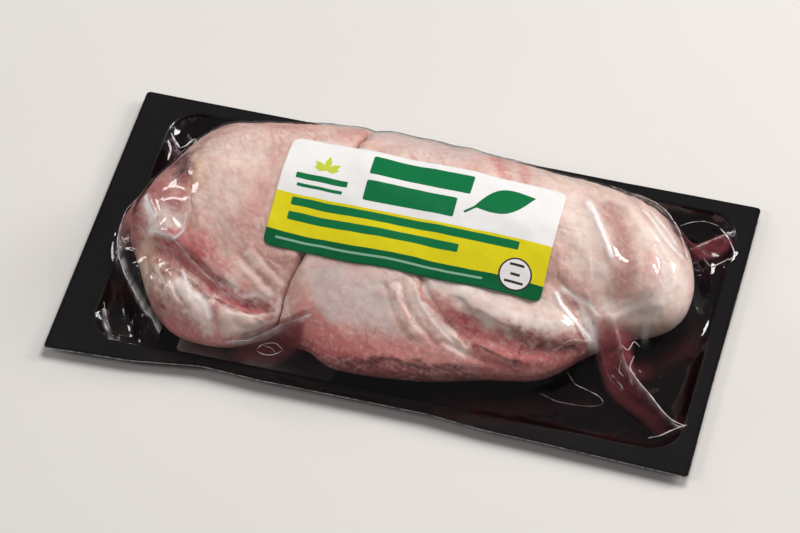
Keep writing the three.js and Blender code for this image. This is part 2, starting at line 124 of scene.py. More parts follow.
# Finer folds, raised out of the flesh or cut into it, as (height, half width, route in plan)
FINE_FOLDS = [
    (-0.7, 1.3, [(-70, -36), (-60, -41), (-50, -46)]),
    (-0.6, 1.1, [(-64, -32), (-55, -37), (-47, -41)]),
    (0.5, 1.4, [(-68, -40), (-58, -46), (-49, -50)]),
    (0.8, 1.6, [(-90, -50), (-78, -55), (-66, -57), (-54, -56), (-47, -53)]),
    (-0.9, 1.2, [(-103, -42), (-92, -50), (-80, -55), (-68, -58.5), (-56, -57.5)]),
    (-0.6, 1.0, [(-110, -34), (-99, -40), (-88, -47), (-76, -51)]),
    (0.4, 0.9, [(-108, -32), (-97, -38), (-86, -45), (-74, -49.5), (-62, -52)]),
    (-0.8, 1.4, [(-115, -34), (-111, -44), (-105, -52)]),
    (0.9, 2.4, [(-108, -44), (-102, -52), (-99, -60)]),
    (-0.8, 1.3, [(-103, -50), (-98, -57), (-94, -64)]),
    (1.0, 2.2, [(-95, -53), (-88, -58), (-82, -62), (-77, -65.5)]),
    (-0.7, 1.5, [(-100, -8), (-96, -18), (-92, -30)]),
    (0.8, 2.2, [(-110, -18), (-105, -26), (-100, -32)]),
    (-0.9, 1.3, [(6, -33), (10, -41), (17, -48), (27, -54)]),
    (-0.6, 1.1, [(-1, -36), (4, -45), (12, -53)]),
    (-1.1, 1.4, [(15, -29), (19, -37), (26, -43), (36, -47.5)]),
    (0.7, 1.3, [(11, -33), (16, -40), (23, -46), (32, -51)]),
    (-0.8, 1.2, [(36, -41), (50, -42), (64, -42.5), (76, -41), (88, -35)]),
    (0.8, 1.8, [(34, -48), (50, -50.5), (64, -50), (76, -47)]),
    (-0.8, 1.3, [(30, -52), (46, -54), (60, -53)]),
    (-0.6, 1.2, [(74, -16), (82, -21), (89, -28)]),
    (0.7, 1.6, [(88, -18), (94, -25), (99, -31)]),
    (-0.8, 2.0, [(106, -18), (112, -14), (120, -11)]),
    (0.6, 2.4, [(64, 30), (80, 33), (96, 30)]),
    (-0.5, 1.6, [(56, 44), (72, 40), (88, 40)]),
    (0.5, 2.0, [(118, 30), (123, 18), (124, 6)]),
]

# Flaps of flesh, as (height, width of the lip, width behind it, route); the flesh is raised left of the route
LEDGES = [
    (2.3, 0.6, 8, [
        (28, -34), (39, -37), (48, -39), (57, -40), (64, -41), (70, -43), (79, -40), (89, -35), (96, -30),
    ]),
    (1.9, 0.7, 6, [(-116, -27), (-101, -33), (-90, -40), (-78, -46), (-64, -49)]),
    (2.2, 0.6, 6, [(-47, -56), (-56, -57), (-68, -58), (-80, -54.5), (-92, -48.5), (-103, -41), (-113, -34)]),
    (1.1, 0.8, 7, [(-105, 8), (-100, -8), (-96, -20), (-92, -32)]),
    (2.0, 0.8, 8, [(44, -51), (40, -50), (33, -46), (26, -42), (19, -37), (14, -31), (10, -24)]),
    (1.3, 0.6, 5, [(42, -50), (51, -50), (62, -50), (68, -51)]),
    (1.0, 0.5, 3, [(67, -54), (62, -52), (63, -49), (64, -44)]),
    (1.2, 0.7, 4, [(-12, -69), (0, -65), (8, -63), (22, -63), (44, -58), (66, -55)]),
    (0.9, 0.7, 5, [(23, -54), (14, -48), (7, -41), (3, -33)]),
    (1.6, 0.6, 5, [(-97, -64), (-100, -56), (-104, -49), (-110, -42)]),
    (1.8, 0.6, 5, [(-84, -67), (-88, -61), (-94, -55), (-99, -51)]),
    (1.0, 0.8, 6, [(120, -13), (110, -21), (100, -26), (95, -30)]),
    (0.8, 0.8, 7, [(100, -14), (102, -2), (97, 11), (88, 24)]),
    (0.8, 0.7, 5, [(-48, -36), (-58, -35), (-68, -30)]),
    (0.9, 0.7, 5, [(-112, 20), (-107, 8), (-104, -6)]),
]
# Fine wrinkles over the flesh, as (height, length, width, direction in degrees, seed)
GRAIN = [(0.2, 12.0, 2.4, -70.0, 61), (0.13, 7.0, 1.6, -58.0, 62), (0.1, 6.0, 1.5, -20.0, 63)]
GRAIN_PATCH = {"mean": 0.5, "spread": 0.9, "cell": 19}
STREAK_BEND = 1.5
STREAK_BEND_CELL = 11
# Layers of noise, as (height, cell, seed)
LUMPS = [(0.55, 22.0, 3), (0.4, 9.0, 5), (0.16, 4.0, 8)]
LEDGE_WANDER_X = [(0.8, 5, 91)]
LEDGE_WANDER_Y = [(0.8, 5, 92)]
CREASE_WANDER = [(1.8, 9, 95), (0.5, 3.5, 96)]
CREASE_REACH = 8
LEDGE_END = 0.18
DETAIL_FADE = 0.06
# How far places are spread down the sides, and where that begins at the ends and from near to far
UNROLL = 0.85
ENDS_FROM = 67
ENDS_START = 1.5
ENDS_SPAN = 45
SIDES_MIDDLE = 5
SIDES_SPAN = 35

# The flesh's colours
SKIN = "#D9BBAF"
SKIN_PALE = "#E7D7CE"
SKIN_BLUE = "#C9BDBC"
SKIN_PINK = "#C67A76"
# SKIN_SHADE is laid as painted shade in creases, grooves, valleys and on the near slope, and in random clouds
# as a darker tone
SKIN_SHADE = "#AA827A"
FAT_WHITE = "#F2E6DE"
FAT_YELLOW = "#DDBE9F"
MUSCLE = "#A2434A"
MUSCLE_PALE = "#BD6C6C"
# Dark red: dark muscle, and also painted shade laid in thin lines along flap lips and grooves and low on the
# near underside
MUSCLE_DARK_AND_SHADE = "#4A1720"
MEATY = (MUSCLE, MUSCLE_PALE, MUSCLE_DARK_AND_SHADE)
BARE_OF_SKIN = (*MEATY, FAT_WHITE, FAT_YELLOW)
BARE_STRENGTH = 1.3
BARE_MARGIN = 1.5
# Clouds of colour, as (colour, strength, cell, seed)
TINTS = [(SKIN_PINK, 0.3, 13, 81), (SKIN_PALE, 0.6, 9, 82), (SKIN_SHADE, 0.35, 6, 83)]
# Streaks of colour, as (colour, strength, length, width, direction in degrees, seed)
STREAK_TINTS = [
    (SKIN_PINK, 0.4, 9, 1.5, -68, 84),
    (SKIN_PALE, 0.4, 11, 1.8, -60, 85),
    (MUSCLE_PALE, 0.6, 3.5, 0.7, -62, 86),
]
TINT_SHARPNESS = 1.6
STREAK_SHARPNESS = 2.4
STREAK_GAP = 0.5
STREAK_PATCH = {"mean": 0.55, "spread": 0.9, "cell": 17}
FIBRES = {"length": 8, "width": 0.9, "direction": -24, "seed": 25}
FIBRE_MEAN = 0.85
FIBRE_SPREAD = 0.3
# Noise that breaks up the patches' borders and varies the tone, as (height, cell, seed)
BORDER_X = [(1.6, 7, 21), (0.9, 2.4, 22), (0.5, 1.1, 28)]
BORDER_Y = [(1.6, 7, 23), (0.9, 2.4, 24), (0.5, 1.1, 29)]
TONES = [(0.05, 16, 26), (0.06, 2, 27)]

# Where each colour lies, laid on in this order, as (colour, strength, half width, route in plan)
LEFT_PAINT = [
    (SKIN_PALE, 0.4, 15, [(-84, 20), (-80, -5), (-74, -25)]),
    (SKIN_PINK, 0.3, 12, [(-60, 50), (-80, 46), (-100, 36)]),
    # Painted shade on the near slope below the label
    (SKIN_SHADE, 0.6, 9, [(-78, -29), (-66, -33), (-52, -38)]),
    (SKIN_PINK, 0.3, 6, [(-66, -5), (-70, -22)]),
    (FAT_YELLOW, 0.6, 6, [(-101, 8), (-99, -6)]),
    (SKIN_PINK, 0.8, 8, [(-120, 22), (-117, 8), (-118, -4)]),
    (MUSCLE_DARK_AND_SHADE, 1.0, 5.0, [(-113, 15), (-109, 7), (-105.5, -1)]),
    (MUSCLE_DARK_AND_SHADE, 0.75, 4.2, [(-112, 14), (-108, 6)]),
    (MUSCLE_DARK_AND_SHADE, 0.45, 2.2, [(-109, 12), (-105, 18), (-103, 25)]),
    (MUSCLE, 0.6, 2.4, [(-106, -2), (-103, -10)]),
    (SKIN_BLUE, 0.6, 2.2, [(-116, 30), (-113, 22)]),
    (MUSCLE, 0.75, 4.4, [(-118, -3), (-112, -12), (-105, -16)]),
    (MUSCLE_PALE, 0.5, 4, [(-102, -6), (-98, -19), (-94, -33), (-84, -38)]),
    (FAT_WHITE, 0.5, 6, [(-110, -20), (-104, -27)]),
    # A white fat ridge, painted bright along the glint that lies on it: partly painted highlight
    (FAT_WHITE, 0.9, 2.2, [(-122, -11), (-114, -24), (-105, -33.5)]),
    (MUSCLE_PALE, 0.8, 6, [(-96, -34), (-84, -40), (-76, -45)]),
    (MUSCLE, 0.95, 4.4, [(-110, -31.5), (-99, -37), (-88, -43), (-76, -49), (-60, -53)]),
    (SKIN_PALE, 0.75, 1.6, [(-84, -41), (-77.8, -44.9), (-71.8, -47.5), (-66.9, -49)]),
    (MUSCLE_PALE, 0.7, 1.4, [(-108, -29), (-96, -34.5), (-85, -41), (-73, -47)]),
    (MUSCLE, 0.9, 2.4, [(-72, -56), (-61, -57), (-54, -54), (-50, -51)]),
    (MUSCLE_DARK_AND_SHADE, 0.6, 2.2, [(-61, -52), (-55, -50.5), (-51, -52)]),
    # Painted shade: a dark line along the groove below
    (MUSCLE_DARK_AND_SHADE, 0.8, 1.5, [(-103, -42), (-92, -50), (-80, -55.5), (-68, -58.5), (-56, -57.5)]),
    (FAT_YELLOW, 0.7, 7, [(-118, -34), (-112, -43), (-106, -50)]),
    (FAT_WHITE, 0.6, 4.5, [(-106, -46), (-101, -52), (-98, -58)]),
    (MUSCLE, 0.55, 1.8, [(-107, -40), (-101, -46), (-97, -50)]),
    (MUSCLE, 0.8, 4, [(-110, -53), (-102, -60), (-93, -65)]),
    (MUSCLE_PALE, 0.6, 5, [(-100, -66), (-86, -68), (-72, -67), (-60, -63)]),
    # Painted shade: dark lines along the lips of the two lower flaps
    (MUSCLE_DARK_AND_SHADE, 0.6, 1.2, [(-109, -44), (-103, -52), (-99, -61)]),
    (MUSCLE_DARK_AND_SHADE, 0.55, 1.2, [(-96, -52), (-91, -58), (-86, -65)]),
    (FAT_WHITE, 0.95, 3.0, [(-94, -52.5), (-87, -57.5), (-81, -61.5), (-76, -65)]),
    (MUSCLE_PALE, 0.5, 4, [(-76, -63), (-60, -61), (-46, -56)]),
    (SKIN_PALE, 0.8, 4.2, [(-68, -62), (-57, -62), (-49, -59)]),
    (MUSCLE, 0.5, 2, [(-96, -68), (-80, -69), (-66, -68)]),
    (MUSCLE, 0.85, 7, [(-131, 6), (-130, -12), (-124, -24)]),
    (MUSCLE_PALE, 0.6, 3, [(-132, 0), (-131, -16), (-126, -26)]),
    (SKIN_PALE, 0.6, 2.2, [(-70, -41), (-58, -44), (-50, -47)]),
    (SKIN_PALE, 0.5, 1.6, [(-66, -35), (-56, -38), (-48, -42)]),
    # Painted shade beside the crease between the thighs
    (SKIN_SHADE, 0.7, 2.4, [(-38, -22), (-43, -34), (-46, -46)]),
]
RIGHT_PAINT = [
    (SKIN_PALE, 0.45, 24, [(60, 25), (100, 15)]),
    (SKIN_PALE, 0.5, 9, [(20, 54), (50, 50), (70, 46)]),
    (SKIN_PALE, 0.75, 9, [(72, 20), (84, 6), (88, -6)]),
    (SKIN_BLUE, 0.75, 10, [(-26, -38), (-16, -44), (-6, -40)]),
    (SKIN_BLUE, 0.65, 10, [(-24, 44), (0, 41), (14, 38)]),
    (SKIN_PALE, 0.6, 9, [(8, -36), (-4, -33), (16, -30)]),
    # Painted shade beside the crease between the thighs
    (SKIN_SHADE, 0.35, 5, [(-45, -36), (-40, -46), (-36, -54)]),
    (SKIN_PINK, 0.6, 5, [(-36, -50), (-30, -55), (-20, -61), (-8, -63)]),
    # Painted shade: red laid over the near lobe's lower part, which is shaded from the light above, on top of
    # its red flesh
    (MUSCLE, 0.8, 6, [(-32, -59), (-20, -62), (-5, -64), (13, -64)]),
    (SKIN_PINK, 0.6, 6, [(-34, -58), (-14, -63), (10, -62), (30, -59), (54, -53)]),
    (MUSCLE_PALE, 0.5, 4, [(-4, -55), (14, -57), (38, -55)]),
    (SKIN_BLUE, 0.5, 4, [(-24, -50), (-10, -52), (4, -51)]),
    # Painted shade: red and dark red along the near underside, on top of its red flesh
    (MUSCLE, 0.75, 4, [(-42, -57), (-26, -66), (10, -68.5), (40, -62)]),
    (MUSCLE_DARK_AND_SHADE, 0.7, 3, [(-42, -60), (-22, -69), (10, -70), (40, -64)]),
    # Painted shade: a dark line under the lip of the near flap
    (MUSCLE_DARK_AND_SHADE, 0.6, 1.2, [(-12, -69), (0, -65), (8, -63), (22, -63), (44, -58), (66, -55)]),
    # Painted shade: dark red low on the near underside
    (MUSCLE_DARK_AND_SHADE, 0.5, 3, [(2, -66), (14, -66), (24, -64)]),
    (SKIN_PINK, 0.6, 3, [(29, 54), (33, 40), (39, 27)]),
    (SKIN_PINK, 0.5, 2.5, [(45, 54), (44, 40), (49, 28)]),
    (SKIN_PALE, 0.4, 7, [(64, 20), (74, 14), (82, 4)]),
    # Painted shade in the valley of the right end
    (SKIN_SHADE, 0.85, 5, [(88, 26), (97, 12), (102, -2), (100, -13)]),
    # Painted shade along the groove
    (SKIN_SHADE, 0.5, 2.5, [(70, -10), (80, -16), (92, -20)]),
    (FAT_WHITE, 0.75, 8, [(112, 24), (122, 10), (120, -6)]),
    (FAT_WHITE, 0.5, 3, [(115, -14), (118, -7), (124, 2)]),
    (SKIN_PINK, 0.35, 4, [(112, 8), (116, -4), (110, -14)]),
    (SKIN_PALE, 0.85, 4.5, [(99, -17.5), (112, -11.5), (123, -5), (127, 2)]),
    (FAT_YELLOW, 0.7, 2.6, [(100, -20), (107.5, -16.2), (116, -12.3), (123, -9)]),
    (MUSCLE_PALE, 0.7, 2.4, [(94, -25), (99, -23), (104, -22)]),
    # Painted shade: dark red on the shaded underside of the right end, under its flap
    (MUSCLE_DARK_AND_SHADE, 0.5, 3, [(98, -36), (108, -29), (118, -24), (127, -17)]),
    (FAT_WHITE, 0.9, 4.6, [(22, -29), (34, -33), (48, -36), (60, -37), (72, -38), (84, -33), (92, -27)]),
    (FAT_WHITE, 0.6, 4, [(24, -25), (40, -29), (60, -30), (78, -27)]),
    (SKIN_BLUE, 0.5, 3, [(28, -28), (38, -29), (50, -31)]),
    (SKIN_PINK, 0.6, 2.4, [(22, -36), (30, -39), (40, -41)]),
    (MUSCLE_PALE, 0.9, 3, [(30, -41), (42, -43), (54, -44.5)]),
    (MUSCLE, 0.9, 3.2, [(33, -42), (40, -46), (47, -49)]),
    (MUSCLE, 0.6, 2.2, [(36, -43), (46, -45), (58, -46)]),
    (MUSCLE_PALE, 0.7, 4, [(46, -47), (56, -48), (66, -48)]),
    (MUSCLE, 0.9, 4.2, [(62, -46), (75, -45), (87, -39), (95, -32)]),
    (MUSCLE_PALE, 1.0, 6.5, [(52, -56), (74, -49), (92, -38)]),
    # Painted shade: dark lines under the lips of the tongue and its small flaps
    (MUSCLE_DARK_AND_SHADE, 0.5, 0.8, [(58, -41), (64, -42), (70, -44), (79, -41), (89, -36), (96, -31)]),
    (MUSCLE_DARK_AND_SHADE, 0.6, 0.7, [(64, -44), (63, -49), (62, -52), (67, -53)]),
    (MUSCLE_DARK_AND_SHADE, 0.35, 0.8, [(42, -50), (51, -50), (62, -50), (67, -51)]),
    (SKIN_PALE, 0.75, 3.2, [(2, -35), (9, -40), (20, -46), (30, -50), (39, -52)]),
    (SKIN_BLUE, 0.5, 2.2, [(14, -38), (22, -44), (31, -48)]),
    (MUSCLE_PALE, 0.7, 1.2, [(10, -24), (14, -31), (19, -37), (26, -42), (33, -46), (40, -50)]),
    # Painted shade: a dark line along the lip of the flap above
    (MUSCLE_DARK_AND_SHADE, 0.35, 0.7, [(11, -25), (15, -32), (20, -38), (27, -43), (34, -47)]),
    (MUSCLE_PALE, 0.5, 0.8, [(-1, -36), (6, -41), (13, -47), (21, -52)]),
    (MUSCLE_PALE, 0.4, 0.8, [(3, -33), (10, -40), (17, -46), (26, -51)]),
    (MUSCLE_PALE, 0.6, 2.4, [(80, -22), (88, -29), (95, -32)]),
    # Painted highlight: a bright white lens where the film glints in the groove, laid in the fat's white
    (FAT_WHITE, 1.0, 3, [(86, -23), (90.4, -26.3), (94.3, -28)]),
    # Painted reflection: pale laid on the steep, shaded right end where the film reflects light
    (SKIN_PALE, 0.9, 3.4, [(99, -17.5), (106, -14.5), (112, -11.5), (120, -7)]),
]
THIGHS = {
    "thigh_left": {
        "centre": (-82, -2), "side": -1, "bed": 2.7, "slot": "left_meat",
        "steps": 560, "rings": 158, "paint": LEFT_PAINT, "grain": 1.0,
    },
    "thigh_right": {
        "centre": (44, -2), "side": 1, "bed": 1.2, "slot": "right_meat",
        "steps": 570, "rings": 158, "paint": RIGHT_PAINT, "grain": 0.7,
    },
}
UNDER_RINGS = 14

# The film's grid, how tightly it bridges hollows, and its rest over what it lies on
FILM_CELL = 0.75
FILM_MARGIN = 1.5
FILM_REST = 0.15
TIGHT_BRIDGE = 3.0
EASING = 5
EASED_INTO = 0.1
LOOSE_BRIDGE = 9.0
# Where the film hangs loose, as (share, half width, route in plan)
LOOSE_PLACES = [
    (1, 14, [(105, -38), (130, -45)]),
    (1, 12, [(118, 42), (134, 52)]),
    (1, 9, [(-52, -64), (-36, -62)]),
]
# The film is flat under the label and rippled where it has left the meat
FLAT_UNDER_LABEL = {"x": 4.3, "y": -1.5, "half_length": 66, "half_width": 31, "fade": 4}
OFF_MEAT_LEVEL = 26
OFF_MEAT_FADE = 10
POCKET_FADE = 4
RIPPLES = [(0.25, 9, 31), (0.12, 4, 32)]
RIPPLE_LIFT = 0.15
# Wrinkles in the film, as (height, half width, route in plan)
WRINKLES = [
    (1.1, 1.2, [(79, 25), (83, 17), (88, 8), (95, -1)]),
    (0.5, 1.2, [(86, 25), (91, 15), (97, 6)]),
    (0.9, 1.1, [(71, -15), (79, -21), (87, -27), (94, -33)]),
    (0.8, 1.1, [(78, -13), (86, -20), (92, -27)]),
    (0.9, 1.1, [(88, -10), (90, -20), (93, -30)]),
    (0.5, 1.0, [(64, -30), (74, -34), (84, -38), (94, -38)]),
    (0.8, 1.0, [(100, 47), (104, 36), (110, 26)]),
    (0.7, 1.0, [(105, 46), (110, 35), (116, 25)]),
    (0.6, 0.9, [(112, 42), (117, 32), (121, 22)]),
    (0.6, 0.9, [(116, 39), (121, 29), (126, 17)]),
    (0.7, 1.2, [(112, 16), (117, 4), (115, -8)]),
    (0.6, 1.0, [(122, 14), (125, 2), (121, -10)]),
    (0.7, 1.1, [(102, -9), (107, -17), (108, -26)]),
    (0.5, 1.0, [(110, -8), (114, -15), (118, -19)]),
    (1.0, 1.2, [(-121, -6), (-117, -15), (-111, -24)]),
    (0.6, 1.0, [(-126, -12), (-120, -22), (-112, -31)]),
    (0.5, 0.9, [(-128, -18), (-122, -28), (-117, -35)]),
    (0.5, 0.9, [(-118, 20), (-114, 10), (-113, 0)]),
    (0.8, 1.1, [(-99, -48), (-92, -55), (-86, -62)]),
    (0.5, 0.9, [(-106, -44), (-101, -54), (-98, -62)]),
    (0.4, 0.9, [(-66, -37), (-57, -42), (-49, -46)]),
    (0.4, 0.9, [(-62, -50), (-54, -45), (-46, -43)]),
    (0.6, 0.9, [(-60, -61), (-50, -58), (-40, -54), (-34, -53)]),
    (0.5, 1.0, [(86, -45), (94, -47), (102, -46)]),
    (0.6, 0.9, [(52, -63), (66, -58), (82, -50)]),
    (1.6, 1.6, [(131, 66), (139, 61), (143.5, 53), (141.5, 45)]),
    (0.5, 1.2, [(110, -66), (118, -60), (126, -62)]),
    (0.6, 1.2, [(40, -68), (70, -69), (100, -69), (128, -67)]),
    (0.5, 1.4, [(-140, -60), (-140, -20), (-138, 20), (-140, 60)]),
]
# Painted highlights along the film's creases, partly milky film, as (strength, half width, route in plan)
CREASE_MILK_AND_PAINTED_GLARE = [
    (0.95, 1.5, [(79, 22), (83, 17), (88, 9), (93, 2), (95, -1)]),
    (0.5, 1.6, [(103, 33), (107, 31), (113, 24), (119, 22), (123, 21)]),
    (0.4, 1.2, [(106, 36), (114, 30), (120, 25)]),
    (0.9, 0.9, [(75, -22), (78, -26), (84, -29), (90, -31), (93, -31)]),
    (0.6, 0.8, [(77, -20), (83, -21), (90, -22), (96, -23)]),
    (0.6, 1.2, [(90, -26), (94, -28), (96, -30)]),
    (0.2, 1.5, [(115, -16), (118, -8), (122, 0), (126, 7)]),
    (0.25, 1.3, [(115, 1), (119, -1), (121, -5), (119, -11)]),
    (0.3, 0.8, [(85, -2), (87, -7), (89, -12)]),
    (1.0, 0.9, [(-122, -8), (-119, -15), (-116, -19), (-113, -22)]),
    (0.5, 0.9, [(-115, -26), (-107, -32), (-100, -35), (-97, -31), (-98, -23)]),
    (0.14, 0.7, [(-99, -37), (-88, -45), (-77, -49), (-67, -53), (-62, -54)]),
    (0.6, 0.9, [(-93, -47), (-90, -52), (-87, -57)]),
    (0.75, 1.5, [(-83, -58), (-79, -60), (-76, -64)]),
    (0.35, 0.7, [(-63, -52), (-57, -49), (-51, -50), (-47, -52)]),
    (0.3, 0.7, [(-67, -61), (-59, -59), (-53, -56), (-47, -53)]),
]
# Where purge is smeared under the film, as (strength, half width, route in plan)
STAINS = [
    (0.45, 4.0, [(102, -32), (110, -30), (118, -25)]),
    (0.35, 3.5, [(-54, -67), (-46, -63), (-36, -61)]),
    (0.35, 4.0, [(-131, 4), (-131, -12)]),
]
STAIN_COLOUR = "#5E2A2E"
STAIN_MEAN = 0.8
STAIN_CLOUD = [(0.4, 5, 68)]
# Fine streaks pulled into the film, as (height, length, width, direction in degrees, seed, half width, route)
STREAKS = [
    (0.5, 34, 3.2, -36, 71, 20, [(104, 36), (116, 14), (112, -8)]),
    (0.4, 34, 3.0, -57, 72, 12, [(82, 24), (90, 4)]),
    (0.5, 30, 2.8, -20, 73, 13, [(76, -16), (88, -26), (98, -30)]),
    (0.5, 24, 2.8, -62, 74, 12, [(-124, -8), (-114, -26)]),
    (0.5, 20, 2.6, -35, 75, 13, [(-104, -46), (-86, -60)]),
    (0.3, 20, 2.8, -30, 76, 12, [(-60, -42), (-44, -50)]),
    (0.5, 24, 3.0, 20, 78, 9, [(50, -54), (66, -52), (84, -44)]),
    (0.4, 20, 2.8, -70, 79, 12, [(-124, 20), (-112, 34)]),
    (1.3, 9, 2.2, -58, 93, 7, [(100, -24), (108, -33)]),
]
WRINKLE_POWER = 1.4
STREAK_NARROWING = 1.8
# The far right fin's folded edge
FAR_FIN_CREST = [
    (84.6, 49.5, 36), (97.3, 52.7, 32), (104.5, 52.5, 30), (110.3, 49.9, 29), (113.9, 46.6, 28),
    (118.6, 38, 27), (123, 30.6, 26), (126.2, 24.8, 25),
]
# Folded edges of the film, which show as pale lines, and glints as thicker pale tubes, a painted highlight,
# as (radius, route of (x, y, z))
FOLD_AND_GLINT_LINES = [
    (0.2, FAR_FIN_CREST),
    (0.15, [(93, 50.3, 34), (100, 50.8, 32), (105.3, 48.6, 31), (110, 44.4, 30)]),
    (0.4, [
        (133.9, 64.6, 7), (138.1, 60.5, 7), (141.6, 55.1, 7), (143.9, 50.6, 7), (143.6, 47.3, 7),
        (141.5, 46.2, 7),
    ]),
    (0.22, [(141.5, 48, 5), (138.1, 45.2, 5), (134.6, 41.1, 5), (130.6, 42.6, 5)]),
    (0.34, [
        (113.7, -31.8, 20), (112.4, -35.7, 16), (117.5, -40.7, 14.2), (124.4, -45.6, 12.2),
        (131.3, -51.7, 10.2), (136.6, -54.6, 8.5), (142.8, -55.1, 7),
    ]),
    (0.3, [(127.9, -64.4, 5), (133, -62.3, 5.5), (136.7, -58.8, 6), (142.6, -54.2, 6.5)]),
    (0.16, [(97.6, -28.1, 9), (101.9, -34.4, 7), (105.9, -37.9, 6), (110.9, -41.5, 5.5)]),
    (0.14, [(78.8, -43.5, 9), (87.7, -36, 10), (94.3, -30.3, 11), (99.2, -25.9, 13)]),
    (0.2, [
        (-129, 5, 21), (-133.3, -4.5, 20), (-133.4, -13.8, 19.2), (-132.2, -23.1, 19), (-129, -31.7, 19),
        (-123.4, -40.9, 18.5), (-116.2, -49.4, 17.4), (-107.6, -59.2, 15.5), (-100, -66, 12),
    ]),
    (0.16, [
        (-68.3, -69.8, 17.4), (-60.8, -66.7, 18.5), (-56.2, -65.3, 18.4), (-51, -61.5, 20.6),
        (-44.3, -57, 23.5), (-37.5, -54.7, 26.4), (-32.2, -52.5, 28.8),
    ]),
    (0.2, [
        (-53.2, -66.7, 14), (-52.2, -65, 15.5), (-49.6, -63.6, 16.4), (-45.4, -61.9, 16.2),
        (-41.6, -63.7, 14),
    ]),
    (0.16, [
        (-53, -66.9, 13.4), (-50.3, -66.9, 12.4), (-46.5, -66, 11.6), (-43.5, -64.7, 13), (-41.6, -63.7, 14),
    ]),
    (0.14, [(-50.6, -64.6, 15.8), (-47.4, -63.9, 15), (-45.4, -64.4, 13.8), (-44.6, -65.2, 12.6)]),
    (0.1, [(-102, -34.5, 40), (-92, -42, 38), (-81, -48, 34), (-69, -54, 30)]),
    (0.08, [(-104, -38, 36), (-93, -46, 34), (-81, -52, 30), (-72, -55.5, 26)]),
    (0.24, [(-120.5, -11.5, 37.4), (-117, -17.2, 38.2), (-114.5, -20.6, 38.8), (-112.5, -23.3, 39.4)]),
    (0.16, [(-131.3, -49.1, 5), (-127.8, -57.4, 5), (-123.9, -63.9, 5)]),
    (0.5, [(-129.4, 53.6, 12), (-125.5, 47.4, 14), (-121.4, 41.9, 16)]),
    (0.55, [(-129.5, 48.9, 12), (-125.9, 42, 14), (-125, 34.1, 15)]),
    (0.32, [
        (-121.1, 41.1, 17), (-118.4, 42.1, 18), (-116.8, 46.5, 18), (-114.5, 47.5, 19), (-114.5, 40.6, 20),
        (-118.1, 37.6, 18),
    ]),
    (0.2, [
        (102.6, -30.7, 14), (104.5, -27.1, 16), (108.2, -31.3, 15), (107.6, -36.2, 12), (111.7, -37.9, 11),
        (105.1, -33.2, 12),
    ]),
    (0.16, [
        (102.4, -20.7, 20), (106.7, -25.2, 18), (110.1, -27.7, 17), (111.3, -21, 18), (114.6, -22.7, 16),
    ]),
    (0.3, [(-130.8, -20.2, 19), (-127.2, -25.6, 19)]),
    (0.14, [(115.3, 62.9, 5), (120.2, 66.7, 5), (126, 68.8, 5), (133, 67.4, 5)]),
    (0.09, [(86, -44.5, 10), (91, -45, 7.6), (96.7, -44.3, 4.6), (102, -45, 2.6), (103.8, -47.2, 1.6)]),
    (0.05, [(103.8, -47.2, 1.6), (101, -49.8, 1.6), (94, -51.6, 2), (84, -53.5, 4), (76, -54.8, 7)]),
    (0.16, [(99, -44.4, 3.6), (101.6, -44.9, 3), (103.6, -46.8, 2)]),
]
FOLD_SIDES = 6
FOLD_STEP = 0.8
FOLD_LEAST_STEPS = 8
FOLD_SOFTENING = 5
FOLD_REST = 0.1
FOLD_THIN_END = 0.35
FOLD_UNEVEN = [(0.35, 3, 55)]

